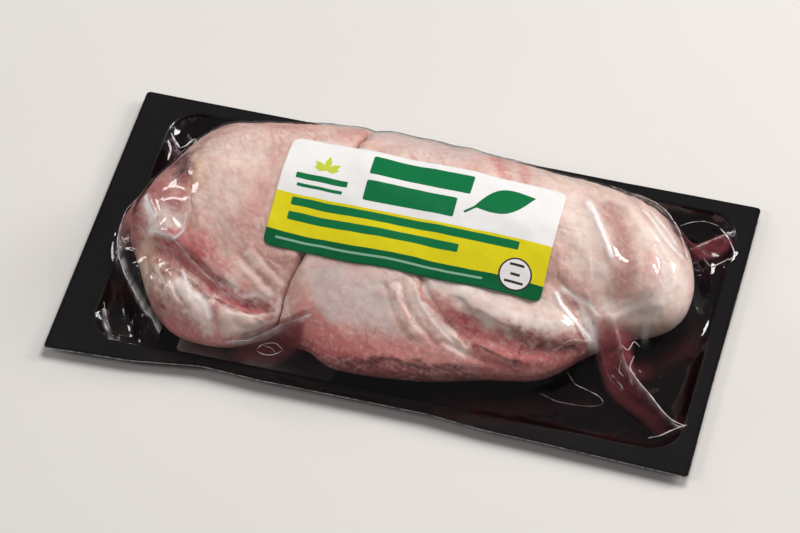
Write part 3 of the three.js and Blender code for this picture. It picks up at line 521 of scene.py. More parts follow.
# Pleats and bubbles that stand off the web: their two feet in plan, and the crest between them as (x, y, z).
# The purge smeared inside one is (from, to, fade, strength, colour at its start, colour at its end), or None.
# There from, to and fade are shares of the pleat's length
PLEATS = {
    "near_right": {
        "left": [(92, -25), (96.5, -33), (104, -42), (112, -47), (121, -52), (131, -59), (141, -58)],
        "crest": [
            (101, -19, 30), (106, -27, 22), (111, -35, 17), (117.5, -40.7, 14), (124.4, -45.6, 12),
            (131.3, -51.7, 10), (136.6, -54.6, 8.3), (143.3, -53.6, 6.9),
        ],
        "right": [
            (110, -14), (114, -27), (119.5, -38.5), (126.2, -43.8), (132.8, -50), (138, -52.5), (144, -51),
        ],
        "stain": (0.04, 0.9, 0.14, 0.68, "#9A4A50", "#4E2026"),
    },
    "far_right": {
        "left": [(112, 43), (118, 50), (125, 57), (131, 63), (136, 68)],
        "crest": [(117, 35, 21), (122.5, 41.5, 13), (129, 50, 11.5), (136, 58.5, 9.5), (141, 64.5, 7.5)],
        "right": [(124, 31), (129, 38), (134.5, 46), (141, 54), (145, 60)],
        "stain": (0.0, 0.86, 0.1, 0.85, "#5C2229", "#7C3840"),
    },
    "far_right_fin": {
        "left": [
            (84, 50.2), (97.5, 53.8), (105, 53.6), (111.3, 50.8), (115, 47.2), (119.8, 38.4), (124.2, 31),
            (127.4, 25),
        ],
        "crest": FAR_FIN_CREST,
        "right": [(84, 46), (95, 47), (102, 45.5), (106.5, 42.5), (109, 39), (113, 32), (117, 26), (121, 20)],
        "stain": None,
    },
    "notch": {
        "left": [(-66, -72), (-58, -71.5), (-48, -70), (-38, -66), (-31, -58)],
        "crest": [
            (-66, -69, 17.4), (-58, -66, 18.7), (-51, -61.8, 20.8), (-44, -57.2, 23.8), (-37, -54.4, 26.8),
            (-31, -52, 29.2),
        ],
        "right": [(-63, -66), (-56, -62.5), (-50, -58), (-43, -53.5), (-36, -51), (-30, -49)],
        "stain": (0.1, 0.9, 0.1, 0.55, "#5A2A2D", "#6E3034"),
    },
    "far_left": {
        "left": [(-121, 28), (-128, 42), (-134, 56)],
        "crest": [(-116, 29, 26), (-123, 43, 15), (-131, 57, 9)],
        "right": [(-113, 35), (-119.5, 46), (-129, 59)],
        "stain": (0.1, 0.8, 0.1, 0.7, "#6A3540", "#4E242B"),
    },
    "far_left_second": {
        "left": [(-113, 36), (-119, 47), (-127, 59)],
        "crest": [(-110, 37, 25), (-116.5, 48.5, 14), (-124, 60, 8.5)],
        "right": [(-106, 42), (-112, 53), (-120, 62)],
        "stain": None,
    },
    "near_left": {
        "left": [(-135, -54), (-132, -64), (-124, -72)],
        "crest": [(-130, -53, 9), (-127, -62, 7.6), (-122, -71, 6.2)],
        "right": [(-121, -52), (-117, -60), (-111, -68)],
        "stain": None,
    },
    "left_rim": {
        "left": [
            (-130, 8), (-134.4, -4), (-135.6, -13), (-134.4, -23), (-131, -32), (-125.2, -41.4),
            (-118, -50.8), (-109, -61), (-99, -69),
        ],
        "crest": [
            (-127, 8, 21), (-132, -4.5, 19.5), (-133.4, -13, 19), (-132, -22.3, 19), (-128.8, -30.9, 19),
            (-123.2, -40.1, 18), (-116, -49.4, 17), (-107.4, -59.3, 15), (-99, -67, 11),
        ],
        "right": [
            (-123, 7), (-126.5, -5), (-126, -14), (-122.5, -23), (-116.5, -32), (-110.5, -40.5),
            (-105, -48.5), (-98, -57), (-92, -64),
        ],
        "stain": (0.0, 0.34, 0.34, 0.62, "#E79A94", "#8A4A4A"),
    },
}
PLEAT_STEP = 0.7
PLEAT_SOFTENING = 8
PLEAT_SIDE_STEPS = 11
PLEAT_END = 0.14
PLEAT_REST = 0.1
PLEAT_CLEAR = 0.08
PLEAT_SAG = 0.14
PLEAT_CRINKLE = 0.09
PLEAT_CRINKLE_CELL = 2.8
PLEAT_CRINKLE_LIMIT = 7
PLEAT_SWAY = 0.35
PLEAT_SWAY_CELL = 3.5
PLEAT_SEED = 41
# How pale a pleat's crest is painted, partly the folded film and partly a painted highlight, and over how
# many steps
PLEAT_MILK = 0.7
PLEAT_MILK_STEPS = 1.2
PLEAT_FOOT_STEPS = 4
# The means of a pleat's stain and pale, partly painted crest, and the noise that breaks them up, as (height,
# cell, seed)
PLEAT_STAIN_MEAN = 0.85
PLEAT_STAIN_CLOUD = [(0.3, 3.5, 66)]
PLEAT_MILK_MEAN = 0.5
PLEAT_MILK_CLOUD = [(0.5, 2.5, 67)]

# The purge: dark liquid drawn out of the meat, lying under the film on rings from the pocket's edge inwards
PURGE_STEPS = [1.0, 1.5, 2.2, 3.2, 4.4, *range(6, 68, 2)]
PURGE_MIDDLE = 0.1
PURGE_SKIN = 0.12
PURGE_LEAST = 0.02
PURGE_WET = 0.03
PURGE_BED = 0.04
PURGE_EDGE = 5
PURGE_OFF_PAD = 4
PURGE_REST = 0.12
PURGE_FULL = 2.4
PURGE_DARK = "#060304"
PURGE_RED = "#2C0F11"
# Where it pools, as (depth, half width, route in plan)
PURGE_POOLS = [
    (1.6, 12, [(96, -60), (118, -60)]),
    (1.4, 8, [(133, -14), (138, 2)]),
    (1.2, 14, [(122, -30), (130, -20)]),
    (2.0, 8, [(126, 42), (134, 50)]),
    (1.2, 10, [(30, -66), (70, -60)]),
    (3.5, 6, [(-45, -61), (-36, -60)]),
    (2.0, 7, [(-128, -20), (-124, -38)]),
    (1.5, 7, [(-122, 34), (-129, 50)]),
]

# The label, draped over the crown, with its colours changing at distances down from its top edge
LABEL = {"length": 131.0, "width": 57.6, "corner": 3.5, "x": -60.2, "y": 25.7, "turn": -0.006}
CROWN_STRETCH = 0.985
LABEL_CELL = 0.7
LABEL_THICKNESS = 0.13
LABEL_REST = 0.05
LABEL_STIFFNESS = 45.0
WHITE_TO_YELLOW = 31.0
YELLOW_TO_GREEN = 49.9

LABEL_WHITE = "#E4E2E1"
LABEL_YELLOW = "#D9CC1E"
LABEL_GREEN = "#064F2B"
INK_GREEN = "#04693A"
INK_LEAF = "#B9C23A"
INK_PALE = "#7FA58F"
INK_DARK = "#2F2A33"
SEAL_PAPER = "#DED9D8"
INK_LIFT = 0.05
SEAL_LIFT = 0.08
SEAL_INK_LIFT = 0.11
# The sprig's middle, and its leaves as (length, direction in degrees)
SPRIG = (20, 16.5)
SPRIG_LEAVES = [(8.5, -90), (7.5, -145), (7.5, -35), (6.0, -168), (6.0, -12)]
# The bars in the seal, as (distance down the label, half length)
SEAL_MIDDLE = 117.3
SEAL_BARS = [(43.6, 3.4), (48, 2.2), (51.6, 4.4)]
# A print's grid: its steps along it and across it, and the fewest of each
INK_STEP = 0.6
INK_LEAST_STEPS = 24
INK_ROW = 0.4
INK_LEAST_ROWS = 3
BAR_ROUNDING = 0.35
BAR_ROUNDING_LIMIT = 0.9
LEAF_POWER = 1.1


def linear(code):
    """A colour code's red, green and blue as linear light."""
    parts = [int(code[i:i + 2], 16) / 255 for i in (1, 3, 5)]
    return np.array([c / 12.92 if c <= 0.04045 else ((c + 0.055) / 1.055) ** 2.4 for c in parts])


def along(points, at):
    """A value between the entries of a list of (position, value)."""
    return np.interp(at, [p[0] for p in points], [p[1] for p in points])


def smooth(share):
    """An even rise from 0 to 1."""
    share = np.clip(share, 0, 1)
    return share * share * (3 - 2 * share)


def between_four(at, a, b):
    """A value between four neighbours, which at(over, up) gives, a of the way over and b of the way up."""
    low = at(0, 0) * (1 - a) + at(1, 0) * a
    high = at(0, 1) * (1 - a) + at(1, 1) * a
    return low * (1 - b) + high * b


def noise(x, y, cell, seed):
    """Smooth noise over the plan, from -1 to 1, with bumps about a cell apart."""
    size = 128
    lattice = np.random.default_rng(seed).uniform(-1, 1, (size, size))
    u = np.asarray(x, float) / cell + size * 4.0
    v = np.asarray(y, float) / cell + size * 4.0
    i, j = np.floor(u).astype(int), np.floor(v).astype(int)
    at = lambda over, up: lattice[(j + up) % size, (i + over) % size]
    return between_four(at, smooth(u - i), smooth(v - j))


def layered(x, y, layers, base=0.0):
    """A base with layers of noise added to it, each as (height, cell, seed)."""
    for height, cell, seed in layers:
        base = base + height * noise(x, y, cell, seed)
    return base


def to_leg(start, end, x, y):
    """How far along a straight leg points in plan have passed, from 0 to 1, and their distance from it."""
    (ax, ay), (bx, by) = start, end
    share = np.clip(((x - ax) * (bx - ax) + (y - ay) * (by - ay)) / ((bx - ax) ** 2 + (by - ay) ** 2), 0, 1)
    return share, np.hypot(x - ax - share * (bx - ax), y - ay - share * (by - ay))


def to_route(route, x, y):
    """The distance from points in plan to a route."""
    return np.minimum.reduce([to_leg(start, end, x, y)[1] for start, end in zip(route, route[1:])])


def relief(routes, x, y, power=2):
    """The sum of soft ridges and grooves, each (height, half width, route in plan)."""
    total = np.zeros(np.shape(x))
    for height, half_width, route in routes:
        total += height * np.exp(-(to_route(route, x, y) / half_width) ** power)
    return total


def strongest(routes, x, y, power=2):
    """The most that any of the routes gives, each (strength, half width, route in plan)."""
    most = np.zeros(np.shape(x))
    for strength, half_width, route in routes:
        most = np.maximum(most, strength * np.exp(-(to_route(route, x, y) / half_width) ** power))
    return most


def ledges(routes, x, y):
    """The sum of flaps, each with a short lip on one side of its route and a long fall behind it."""
    total = np.zeros(np.shape(x))
    for height, lip, behind, route in routes:
        nearest, side, gone = np.full(np.shape(x), np.inf), np.zeros(np.shape(x)), np.zeros(np.shape(x))
        lengths = [math.dist(a, b) for a, b in zip(route, route[1:])]
        passed = 0.0
        for (ax, ay), (bx, by), length in zip(route, route[1:], lengths):
            share, away = to_leg((ax, ay), (bx, by), x, y)
            closer = away < nearest
            nearest = np.where(closer, away, nearest)
            side = np.where(closer, np.sign((bx - ax) * (y - ay) - (by - ay) * (x - ax)), side)
            gone = np.where(closer, (passed + share * length) / sum(lengths), gone)
            passed += length
        signed = nearest * side
        ends = smooth(gone / LEDGE_END) * smooth((1 - gone) / LEDGE_END)
        lip_rise = smooth((signed + lip) / (2 * lip))
        total += height * ends * lip_rise * np.exp(-(np.maximum(signed, 0) / behind) ** 2)
    return total


def streaky(x, y, length, width, direction, seed):
    """Noise drawn out along a direction in plan, from -1 to 1."""
    c, s = math.cos(math.radians(direction)), math.sin(math.radians(direction))
    bend = STREAK_BEND * noise(x, y, STREAK_BEND_CELL, seed + 100)
    return noise((x * c + y * s) / length, (y * c - x * s + bend) / width, 1.0, seed)


def closed_curve(points, steps):
    """A closed smooth curve through points in plan, as a fine polygon."""
    knots = np.array(points, float)
    t = np.arange(steps)[:, None] / steps
    parts = []
    for i in range(len(knots)):
        a, b, c, d = (knots[(i + k) % len(knots)] for k in (-1, 0, 1, 2))
        curve = 2 * b + (c - a) * t + (2 * a - 5 * b + 4 * c - d) * t**2 + (3 * b - a - 3 * c + d) * t**3
        parts.append(0.5 * curve)
    return np.concatenate(parts)


def reach(polygon, x, y, dx, dy):
    """How far it is from points to the polygon round them, each in its own direction."""
    x, y, dx, dy = (np.asarray(v, float)[:, None] for v in np.broadcast_arrays(x, y, dx, dy))
    side = np.roll(polygon, -1, 0) - polygon
    across = dx * side[:, 1] - dy * side[:, 0]
    across = np.where(np.abs(across) < 1e-12, 1e-12, across)
    gap_x, gap_y = polygon[:, 0] - x, polygon[:, 1] - y
    away = (gap_x * side[:, 1] - gap_y * side[:, 0]) / across
    share = (gap_x * dy - gap_y * dx) / across
    return np.where((share >= 0) & (share <= 1) & (away > 0), away, 0).max(1)


loaf_outline = closed_curve(LOAF_OUTLINE, OUTLINE_STEPS)
TABLE_ANGLES = np.linspace(-np.pi, np.pi, ANGLE_STEPS)
TABLE_X = np.linspace(RIDGE[0][0], RIDGE[-1][0], RIDGE_STEPS)
ridge_y = along(RIDGE, TABLE_X)
edge_far = reach(loaf_outline, TABLE_X, ridge_y, 0.0, 1.0)
edge_near = reach(loaf_outline, TABLE_X, ridge_y, 0.0, -1.0)
edge_left = reach(loaf_outline, *RIDGE[0], np.cos(TABLE_ANGLES), np.sin(TABLE_ANGLES))
edge_right = reach(loaf_outline, *RIDGE[-1], np.cos(TABLE_ANGLES), np.sin(TABLE_ANGLES))


def loaf_height(x, y):
    """The height of the loaf's top over points in plan, without its folds."""
    foot_x = np.clip(x, RIDGE[0][0], RIDGE[-1][0])
    foot_y = along(RIDGE, foot_x)
    dx, dy = x - foot_x, y - foot_y
    distance = np.hypot(dx, dy)
    angle = np.arctan2(dy, dx)
    beside = np.where(dy > 0, np.interp(foot_x, TABLE_X, edge_far), np.interp(foot_x, TABLE_X, edge_near))
    at_left, at_right = np.interp(angle, TABLE_ANGLES, edge_left), np.interp(angle, TABLE_ANGLES, edge_right)
    edge = np.where(x < RIDGE[0][0], at_left, np.where(x > RIDGE[-1][0], at_right, beside))
    soft = lambda d: np.hypot(d, RIDGE_SOFTNESS) - RIDGE_SOFTNESS
    share = np.clip(soft(distance) / soft(edge), 0, 1)
    out_x, out_y = np.cos(angle), np.sin(angle)
    weights = {"near": -out_y, "far": out_y, "left": -out_x, "right": out_x}
    weights = {side: np.clip(w, 0, None) ** SIDE_BLEND for side, w in weights.items()}
    total = sum(weights.values())
    flat = sum(w * FALL[side][0] for side, w in weights.items()) / total
    rounded = sum(w * FALL[side][1] for side, w in weights.items()) / total
    rise = np.clip(1 - share**flat, 0, None) ** (1 / rounded)
    return WIDEST_LEVEL + (along(CROWN, x) - WIDEST_LEVEL) * rise


def middle(box):
    """A box's middle in plan."""
    return [(box["x0"] + box["x1"]) / 2, (box["y0"] + box["y1"]) / 2]


def inside_box(box, x, y):
    """How far in from a round-cornered box's edge points in plan lie; it is negative outside."""
    middle_x, middle_y = middle(box)
    corner = box["corner"]
    right = np.abs(x - middle_x) - (box["x1"] - box["x0"]) / 2 + corner
    up = np.abs(y - middle_y) - (box["y1"] - box["y0"]) / 2 + corner
    outside = np.hypot(np.maximum(right, 0), np.maximum(up, 0))
    return corner - outside - np.minimum(np.maximum(right, up), 0)


def tray_top(x, y):
    """The height of the web's upper face: the flange, the pocket's rounded wall and its floor."""
    depth = smooth(inside_box(POCKET, x, y) / FLOOR_INSET)
    wave = FLANGE_WAVE * noise(x, y, FLANGE_WAVE_CELL, 11) * (1 - depth)
    return FLANGE_TOP - (FLANGE_TOP - WEB) * depth + wave - FLANGE_WAVE


def ground_top(x, y):
    """The height of the web, or of the pad on it."""
    over_pad = smooth((inside_box(PAD, x, y) + PAD_LAP) / PAD_LAP)
    return np.maximum(tray_top(x, y), over_pad * (PAD_LOW + PAD_THICKNESS))


def bend_flange(points):
    """The flange drawn in and curled up by the vacuum on its near side, and waved on its right."""
    x, y, z = points[..., 0], points[..., 1], points[..., 2]
    near = np.clip((POCKET["y0"] - y) / (POCKET["y0"] - PACK["y0"]), 0, 1)
    right = np.clip((x - POCKET["x1"]) / (PACK["x1"] - POCKET["x1"]), 0, 1)
    bow = along(NEAR_BOW, x)
    up = np.clip((y - PACK["y0"]) / (PACK["y1"] - PACK["y0"]), 0, 1)
    wave = -RIGHT_WAVE * right * np.sin(np.pi * up) ** 2 * (WAVE_CENTRE - up)
    return np.stack([x + wave, y + bow * near, z + NEAR_CURL * near * bow / DEEPEST_BOW], -1)


def grid_faces(rows, columns, closed=False, flip=False):
    """The quads of a grid of points, given row by row. closed joins each row's end to its start."""
    r = np.arange(rows - 1)[:, None]
    c = np.arange(columns if closed else columns - 1)[None, :]
    a = r * columns + c
    b = r * columns + (c + 1) % columns
    order = [a, a + columns, b + columns, b] if flip else [a, b, b + columns, a + columns]
    return np.stack(order, -1).reshape(-1, 4)


def fan(centre, ring, flip=False):
    """Triangles from one point to a closed ring of points."""
    following = np.roll(ring, -1)
    return [(centre, b, a) if flip else (centre, a, b) for a, b in zip(ring.tolist(), following.tolist())]


def make_piece(name, points, faces, material, replaces=None, colours=None, places=None):
    """A smooth mesh piece that rides on the pack."""
    mesh = bpy.data.meshes.new(name)
    mesh.from_pydata((np.asarray(points).reshape(-1, 3) * MM).tolist(), [], [tuple(f) for f in faces])
    mesh.polygons.foreach_set("use_smooth", np.ones(len(mesh.polygons), bool))
    if colours is not None:
        paint = mesh.color_attributes.new("paint", "FLOAT_COLOR", "POINT")
        opaque = np.hstack([colours, np.ones((len(colours), 1))])
        paint.data.foreach_set("color", opaque.astype(np.float32).ravel())
    for key, values in (places or {}).items():
        layer = mesh.attributes.new(key, "FLOAT", "POINT")
        layer.data.foreach_set("value", np.asarray(values, np.float32).ravel())
    mesh.update()
    piece = bpy.data.objects.new(name, mesh)
    bpy.context.scene.collection.objects.link(piece)
    piece.data.materials.append(material)
    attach(piece, "root")
    if replaces:
        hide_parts(replaces)


def closed_rings(first, rings, last):
    """Points and faces of a closed form made of rings, wide in the middle, with a point at each end."""
    count = rings.shape[1]
    points = np.concatenate([[first], rings.reshape(-1, 3), [last]])
    faces = (grid_faces(len(rings), count, closed=True, flip=True) + 1).tolist()
    faces += fan(0, 1 + np.arange(count))
    faces += fan(len(points) - 1, 1 + (len(rings) - 1) * count + np.arange(count), flip=True)
    return points, faces


def joined(parts):
    """The points and the faces of several meshes, each (points, faces), as one."""
    points, faces, start = [], [], 0
    for part_points, part_faces in parts:
        points.append(part_points)
        faces += [tuple(start + corner for corner in face) for face in part_faces]
        start += len(part_points)
    return np.concatenate(points), faces


def rgba(colour):
    """A colour code as a material's colour; anything else is given back as it is."""
    return (*linear(colour), 1.0) if isinstance(colour, str) else colour


class Finish:
    """A node material being made, with short ways to add the nodes that the finishes share."""

    def __init__(self, name):
        self.material = bpy.data.materials.new(name)
        self.material.use_nodes = True
        self.tree = self.material.node_tree
        self.tree.nodes.clear()
        self.output = self.tree.nodes.new("ShaderNodeOutputMaterial")
        self.place = self.node("TexCoord").outputs["Object"]

    def node(self, kind, inputs=None, **settings):
        """A new node, with its inputs set to values or linked to other nodes' outputs."""
        made = self.tree.nodes.new("ShaderNode" + kind)
        for key, value in settings.items():
            setattr(made, key, value)
        for key, value in (inputs or {}).items():
            if isinstance(value, bpy.types.NodeSocket):
                self.tree.links.new(value, made.inputs[key])
            else:
                made.inputs[key].default_value = rgba(value)
        return made

    def painted(self, name, output="Fac"):
        """A value or a colour that the mesh carries at its points."""
        return self.node("Attribute", attribute_name=name).outputs[output]

    def cloud(self, scale, detail, roughness=0.5, output="Fac"):
        """Noise through the object, with its scale in bumps to the metre."""
        inputs = {"Vector": self.place, "Scale": scale, "Detail": detail, "Roughness": roughness}
        return self.node("TexNoise", inputs).outputs[output]

    def cells(self, vector, scale, randomness=1.0, feature="F1"):
        """The distance within or between cells scattered through the object."""
        inputs = {"Vector": vector, "Scale": scale, "Randomness": randomness}
        return self.node("TexVoronoi", inputs, feature=feature).outputs["Distance"]

    def ranged(self, value, low=0, high=1, to_low=0, to_high=1):
        """A value stretched from one range to another, and held to it."""
        inputs = {"Value": value, "From Min": low, "From Max": high, "To Min": to_low, "To Max": to_high}
        return self.node("MapRange", inputs).outputs["Result"]

    def mix(self, a, b, share):
        """A colour between two."""
        return self.node("Mix", {"A": a, "B": b, "Factor": share}, data_type="RGBA").outputs["Result"]

    def math(self, operation, *values):
        """A sum worked out on values."""
        return self.node("Math", dict(enumerate(values)), operation=operation).outputs[0]

    def bump(self, height, strength, distance):
        """A surface's direction, roughened by a height."""
        inputs = {"Height": height, "Strength": strength, "Distance": distance}
        return self.node("Bump", inputs).outputs["Normal"]

    def surface(self, colour, roughness, **more):
        """An opaque surface; underscores in the names of its other inputs stand for spaces."""
        inputs = {"Base Color": colour, "Roughness": roughness}
        inputs.update({key.replace("_", " "): value for key, value in more.items()})
        return self.node("BsdfPrincipled", inputs).outputs["BSDF"]

    def clear(self, colour):
        """A see-through surface that tints what lies behind it."""
        return self.node("BsdfTransparent", {"Color": colour}).outputs["BSDF"]

    def blend(self, share, first, second):
        """A surface between two."""
        return self.node("MixShader", {0: share, 1: first, 2: second}).outputs["Shader"]

    def done(self, shader):
        """The material, with this surface as its look."""
        self.tree.links.new(shader, self.output.inputs["Surface"])
        return self.material


def flesh_material(name, shift):
    """Raw poultry: painted flesh with a fine mottle, small veins and goose bumps, a little see-through."""
    f = Finish(name)
    f.place = f.node("Mapping", {"Vector": f.place, "Location": (shift, shift * 0.7, 0)}).outputs["Vector"]
    paint = f.painted("paint", "Color")
    blotch = f.ranged(f.cloud(160, 5, 0.6), 0.35, 0.68)
    mottled = f.mix(paint, f.mix(paint, "#C98A80", 0.28), blotch)
    creamy = f.ranged(f.cloud(420, 4, 0.65), 0.5, 0.75, 0, 0.35)
    creamed = f.mix(mottled, "#F0E2D8", creamy)
    bent = {"Color1": f.place, "Color2": f.cloud(60, 3, output="Color"), "Fac": 0.012}
    bent = f.node("MixRGB", bent, blend_type="ADD").outputs["Color"]
    veins = f.ranged(f.cells(bent, 62, feature="DISTANCE_TO_EDGE"), 0, 0.035, 1, 0)
    veins = f.math("MULTIPLY", veins, f.ranged(f.cloud(45, 2), 0.52, 0.7, 0, 0.4))
    veined = f.mix(creamed, "#8E4C4A", veins)
    pore = f.ranged(f.cells(f.place, 330, 0.85), 0, 0.32, 1, 0)
    pore = f.math("MULTIPLY", pore, f.painted("skin"))
    dotted = f.mix(veined, "#9A6A62", f.math("MULTIPLY", pore, 0.16))
    height = f.math("MULTIPLY", blotch, 0.5)
    height = f.math("MULTIPLY_ADD", pore, 0.35, height)
    height = f.math("MULTIPLY_ADD", f.cloud(900, 3), 0.2, height)
    return f.done(f.surface(
        dotted, f.ranged(creamy, to_low=0.5, to_high=0.36), Normal=f.bump(height, 0.35, 0.0004),
        IOR=1.4, Specular_IOR_Level=0.35,
        Subsurface_Weight=0.3, Subsurface_Radius=(1.0, 0.45, 0.3), Subsurface_Scale=0.001,
    ))


def film_material():
    """Clear film: what lies behind shows through, under a sharp gloss with a faint crinkle."""
    f = Finish("clear_film_finish")
    crinkle = f.cloud(150, 4, 0.55)
    bump = f.bump(crinkle, 0.1, 0.0006)
    haze = f.ranged(crinkle, to_low=0.05, to_high=0.12)
    gloss = f.node("BsdfGlossy", {"Color": (1, 1, 1, 1), "Roughness": haze, "Normal": bump}).outputs["BSDF"]
    edge_on = f.node("LayerWeight", {"Blend": 0.5, "Normal": bump}).outputs["Facing"]
    share = f.ranged(f.math("POWER", edge_on, 4.5), to_low=0.06, to_high=0.75)
    mixed = f.blend(share, f.clear((0.985, 0.98, 0.98, 1)), gloss)
    # Painted highlight: a whitish surface laid along the creases and the pleats' crests, partly milky creased
    # film
    milk_and_painted_glare = f.math("MULTIPLY", f.painted("milk_and_painted_glare"), f.ranged(f.cloud(240, 3), 0.3, 0.6, 0.7))
    with_painted_glare = f.blend(milk_and_painted_glare, mixed, f.surface("#FBF6F4", 0.3))
    smear = f.surface(f.painted("paint", "Color"), 0.25, Specular_IOR_Level=0.4)
    return f.done(f.blend(f.painted("stain"), with_painted_glare, smear))


def fold_and_glint_material():
    """The film where it is folded on itself: half clear, half whitish gloss, the whitish part partly a
    painted highlight.
    """
    f = Finish("film_fold_and_glint_finish")
    share = f.ranged(f.cloud(260, 3), 0.38, 0.62, 0.2, 0.85)
    return f.done(f.blend(share, f.clear((0.97, 0.96, 0.96, 1)), f.surface("#EFE8E8", 0.2)))


def web_material():
    """The black web: smooth dark plastic with a soft sheen, pale where its edge is cut."""
    f = Finish("black_web_finish")
    cloud = f.cloud(28, 6, 0.6)
    dark = f.mix("#070505", "#141112", cloud)
    cut = f.math("MULTIPLY", f.painted("cut"), f.ranged(f.cloud(500, 2), 0.35, 0.6, 0.15, 0.8))
    bump = f.bump(f.cloud(320, 5), 0.15, 0.0003)
    rough = f.ranged(cloud, to_low=0.28, to_high=0.48)
    return f.done(f.surface(f.mix(dark, "#C9C3C3", cut), rough, Normal=bump))


def pad_material():
    """The soaker pad: pressed fibre, stained by the purge."""
    f = Finish("pad_finish")
    fibres = f.cloud(700, 6, 0.7)
    paper = f.mix("#6E6464", "#8F8483", fibres)
    stained = f.mix(paper, "#5B3A3A", f.ranged(f.cloud(40, 4), 0.4, 0.65))
    colour = f.mix(stained, "#1E1012", f.painted("soaked"))
    return f.done(f.surface(colour, 0.75, Normal=f.bump(fibres, 0.5, 0.0003)))


def purge_material():
    """Purge: thin dark red liquid, redder where it is deep."""
    f = Finish("purge_finish")
    cloud = f.ranged(f.cloud(90, 4), 0.35, 0.7, 0.15, 0.6)
    colour = f.mix(f.painted("paint", "Color"), "#120506", cloud)
    ripple = f.bump(f.cloud(120, 2), 0.15, 0.0005)
    return f.done(f.surface(colour, 0.2, Normal=ripple, Specular_IOR_Level=0.25))


def label_material():
    """The label's stock, its three fields of colour told apart by the distance down from its top edge."""
    f = Finish("label_finish")
    down = f.painted("down")
    fibre = f.cloud(260, 4)
    white, yellow = f.mix(LABEL_WHITE, "#DCD9D8", fibre), f.mix(LABEL_YELLOW, "#CDBE16", fibre)
    upper = f.mix(white, yellow, f.math("GREATER_THAN", down, WHITE_TO_YELLOW))
    green = f.mix(LABEL_GREEN, "#0E6239", fibre)
    colour = f.mix(upper, green, f.math("GREATER_THAN", down, YELLOW_TO_GREEN))
    rough = f.ranged(fibre, to_low=0.24, to_high=0.36)
    return f.done(f.surface(colour, rough, Normal=f.bump(fibre, 0.12, 0.0003)))


def ink_material():
    """The label's ink, in the colour that each shape is painted."""
    f = Finish("ink_finish")
    paint = f.painted("paint", "Color")
    lighter = f.mix(paint, (1, 1, 1, 1), 0.008)
    return f.done(f.surface(f.mix(paint, lighter, f.cloud(600, 3)), 0.3))


def floor_material():
    """A plain pale studio floor."""
    f = Finish("floor_finish")
    return f.done(f.surface(f.mix("#CFCAC6", "#D6D2CE", f.cloud(3, 3)), 0.8))


def thigh_edges(thigh):
    """A thigh's edge all the way round its centre, and how much of it is the crease."""
    angles = 2 * np.pi * np.arange(thigh["steps"]) / thigh["steps"]
    dx, dy = np.cos(angles), np.sin(angles)
    cx, cy = thigh["centre"]
    to_loaf = reach(loaf_outline, cx, cy, dx, dy)
    crease_at = CREASE_X + thigh["side"] * CREASE_GAP / 2 + CREASE_LEAN * cy
    to_crease = (crease_at - cx) / (dx - CREASE_LEAN * dy)
    facing = to_crease > 0
    from_crease = np.where(facing, np.where(facing, to_crease, 1.0) ** -CREASE_ROUNDING, 0.0)
    from_loaf = to_loaf**-CREASE_ROUNDING
    both = from_loaf + from_crease
    return angles, both ** (-1 / CREASE_ROUNDING), from_crease / both


def unrolled(x, y, z):
    """Places in plan spread out down the steep sides, so that what is laid by them isn't drawn long there."""
    down = UNROLL * (CROWN_LEVEL - z)
    along_it = np.clip(x / ENDS_SPAN - np.sign(x) * ENDS_START, -1, 1) * (np.abs(x) > ENDS_FROM)
    return x + down * along_it, y + down * np.clip((y - SIDES_MIDDLE) / SIDES_SPAN, -1, 1)


def patches_of(x, y, patch, seed):
    """Where something shows in patches, from 0 to 1."""
    return smooth(patch["mean"] + patch["spread"] * noise(x, y, patch["cell"], seed))


def tinted(colours, code, share):
    """Colours moved by a share each towards one colour."""
    share = share[:, None]
    return colours * (1 - share) + linear(code) * share


def paint_flesh(patches, grain, plan_x, plan_y, z):
    """The flesh's colour over its points, with every patch's border broken up."""
    x, y = unrolled(plan_x, plan_y, z)
    wander_x, wander_y = layered(x, y, BORDER_X, plan_x), layered(x, y, BORDER_Y, plan_y)
    colours = np.tile(linear(SKIN), (len(x), 1))
    for code, strength, cell, seed in TINTS:
        colours = tinted(colours, code, strength * smooth(TINT_SHARPNESS * noise(x, y, cell, seed)))
    for code, strength, length, width, direction, seed in STREAK_TINTS:
        streaks = smooth(STREAK_SHARPNESS * streaky(x, y, length, width, direction, seed) - STREAK_GAP)
        patchy = grain * patches_of(x, y, STREAK_PATCH, seed + 60)
        colours = tinted(colours, code, strength * patchy * streaks)
    fibres = streaky(x, y, **FIBRES)
    for code, strength, half_width, route in patches:
        share = np.exp(-(to_route(route, wander_x, wander_y) / half_width) ** 3)
        if code in MEATY:
            share = share * (FIBRE_MEAN + FIBRE_SPREAD * fibres)
        colours = tinted(colours, code, (strength * share).clip(0, 1))
    return (colours * layered(x, y, TONES, 1)[:, None]).clip(0, 1)


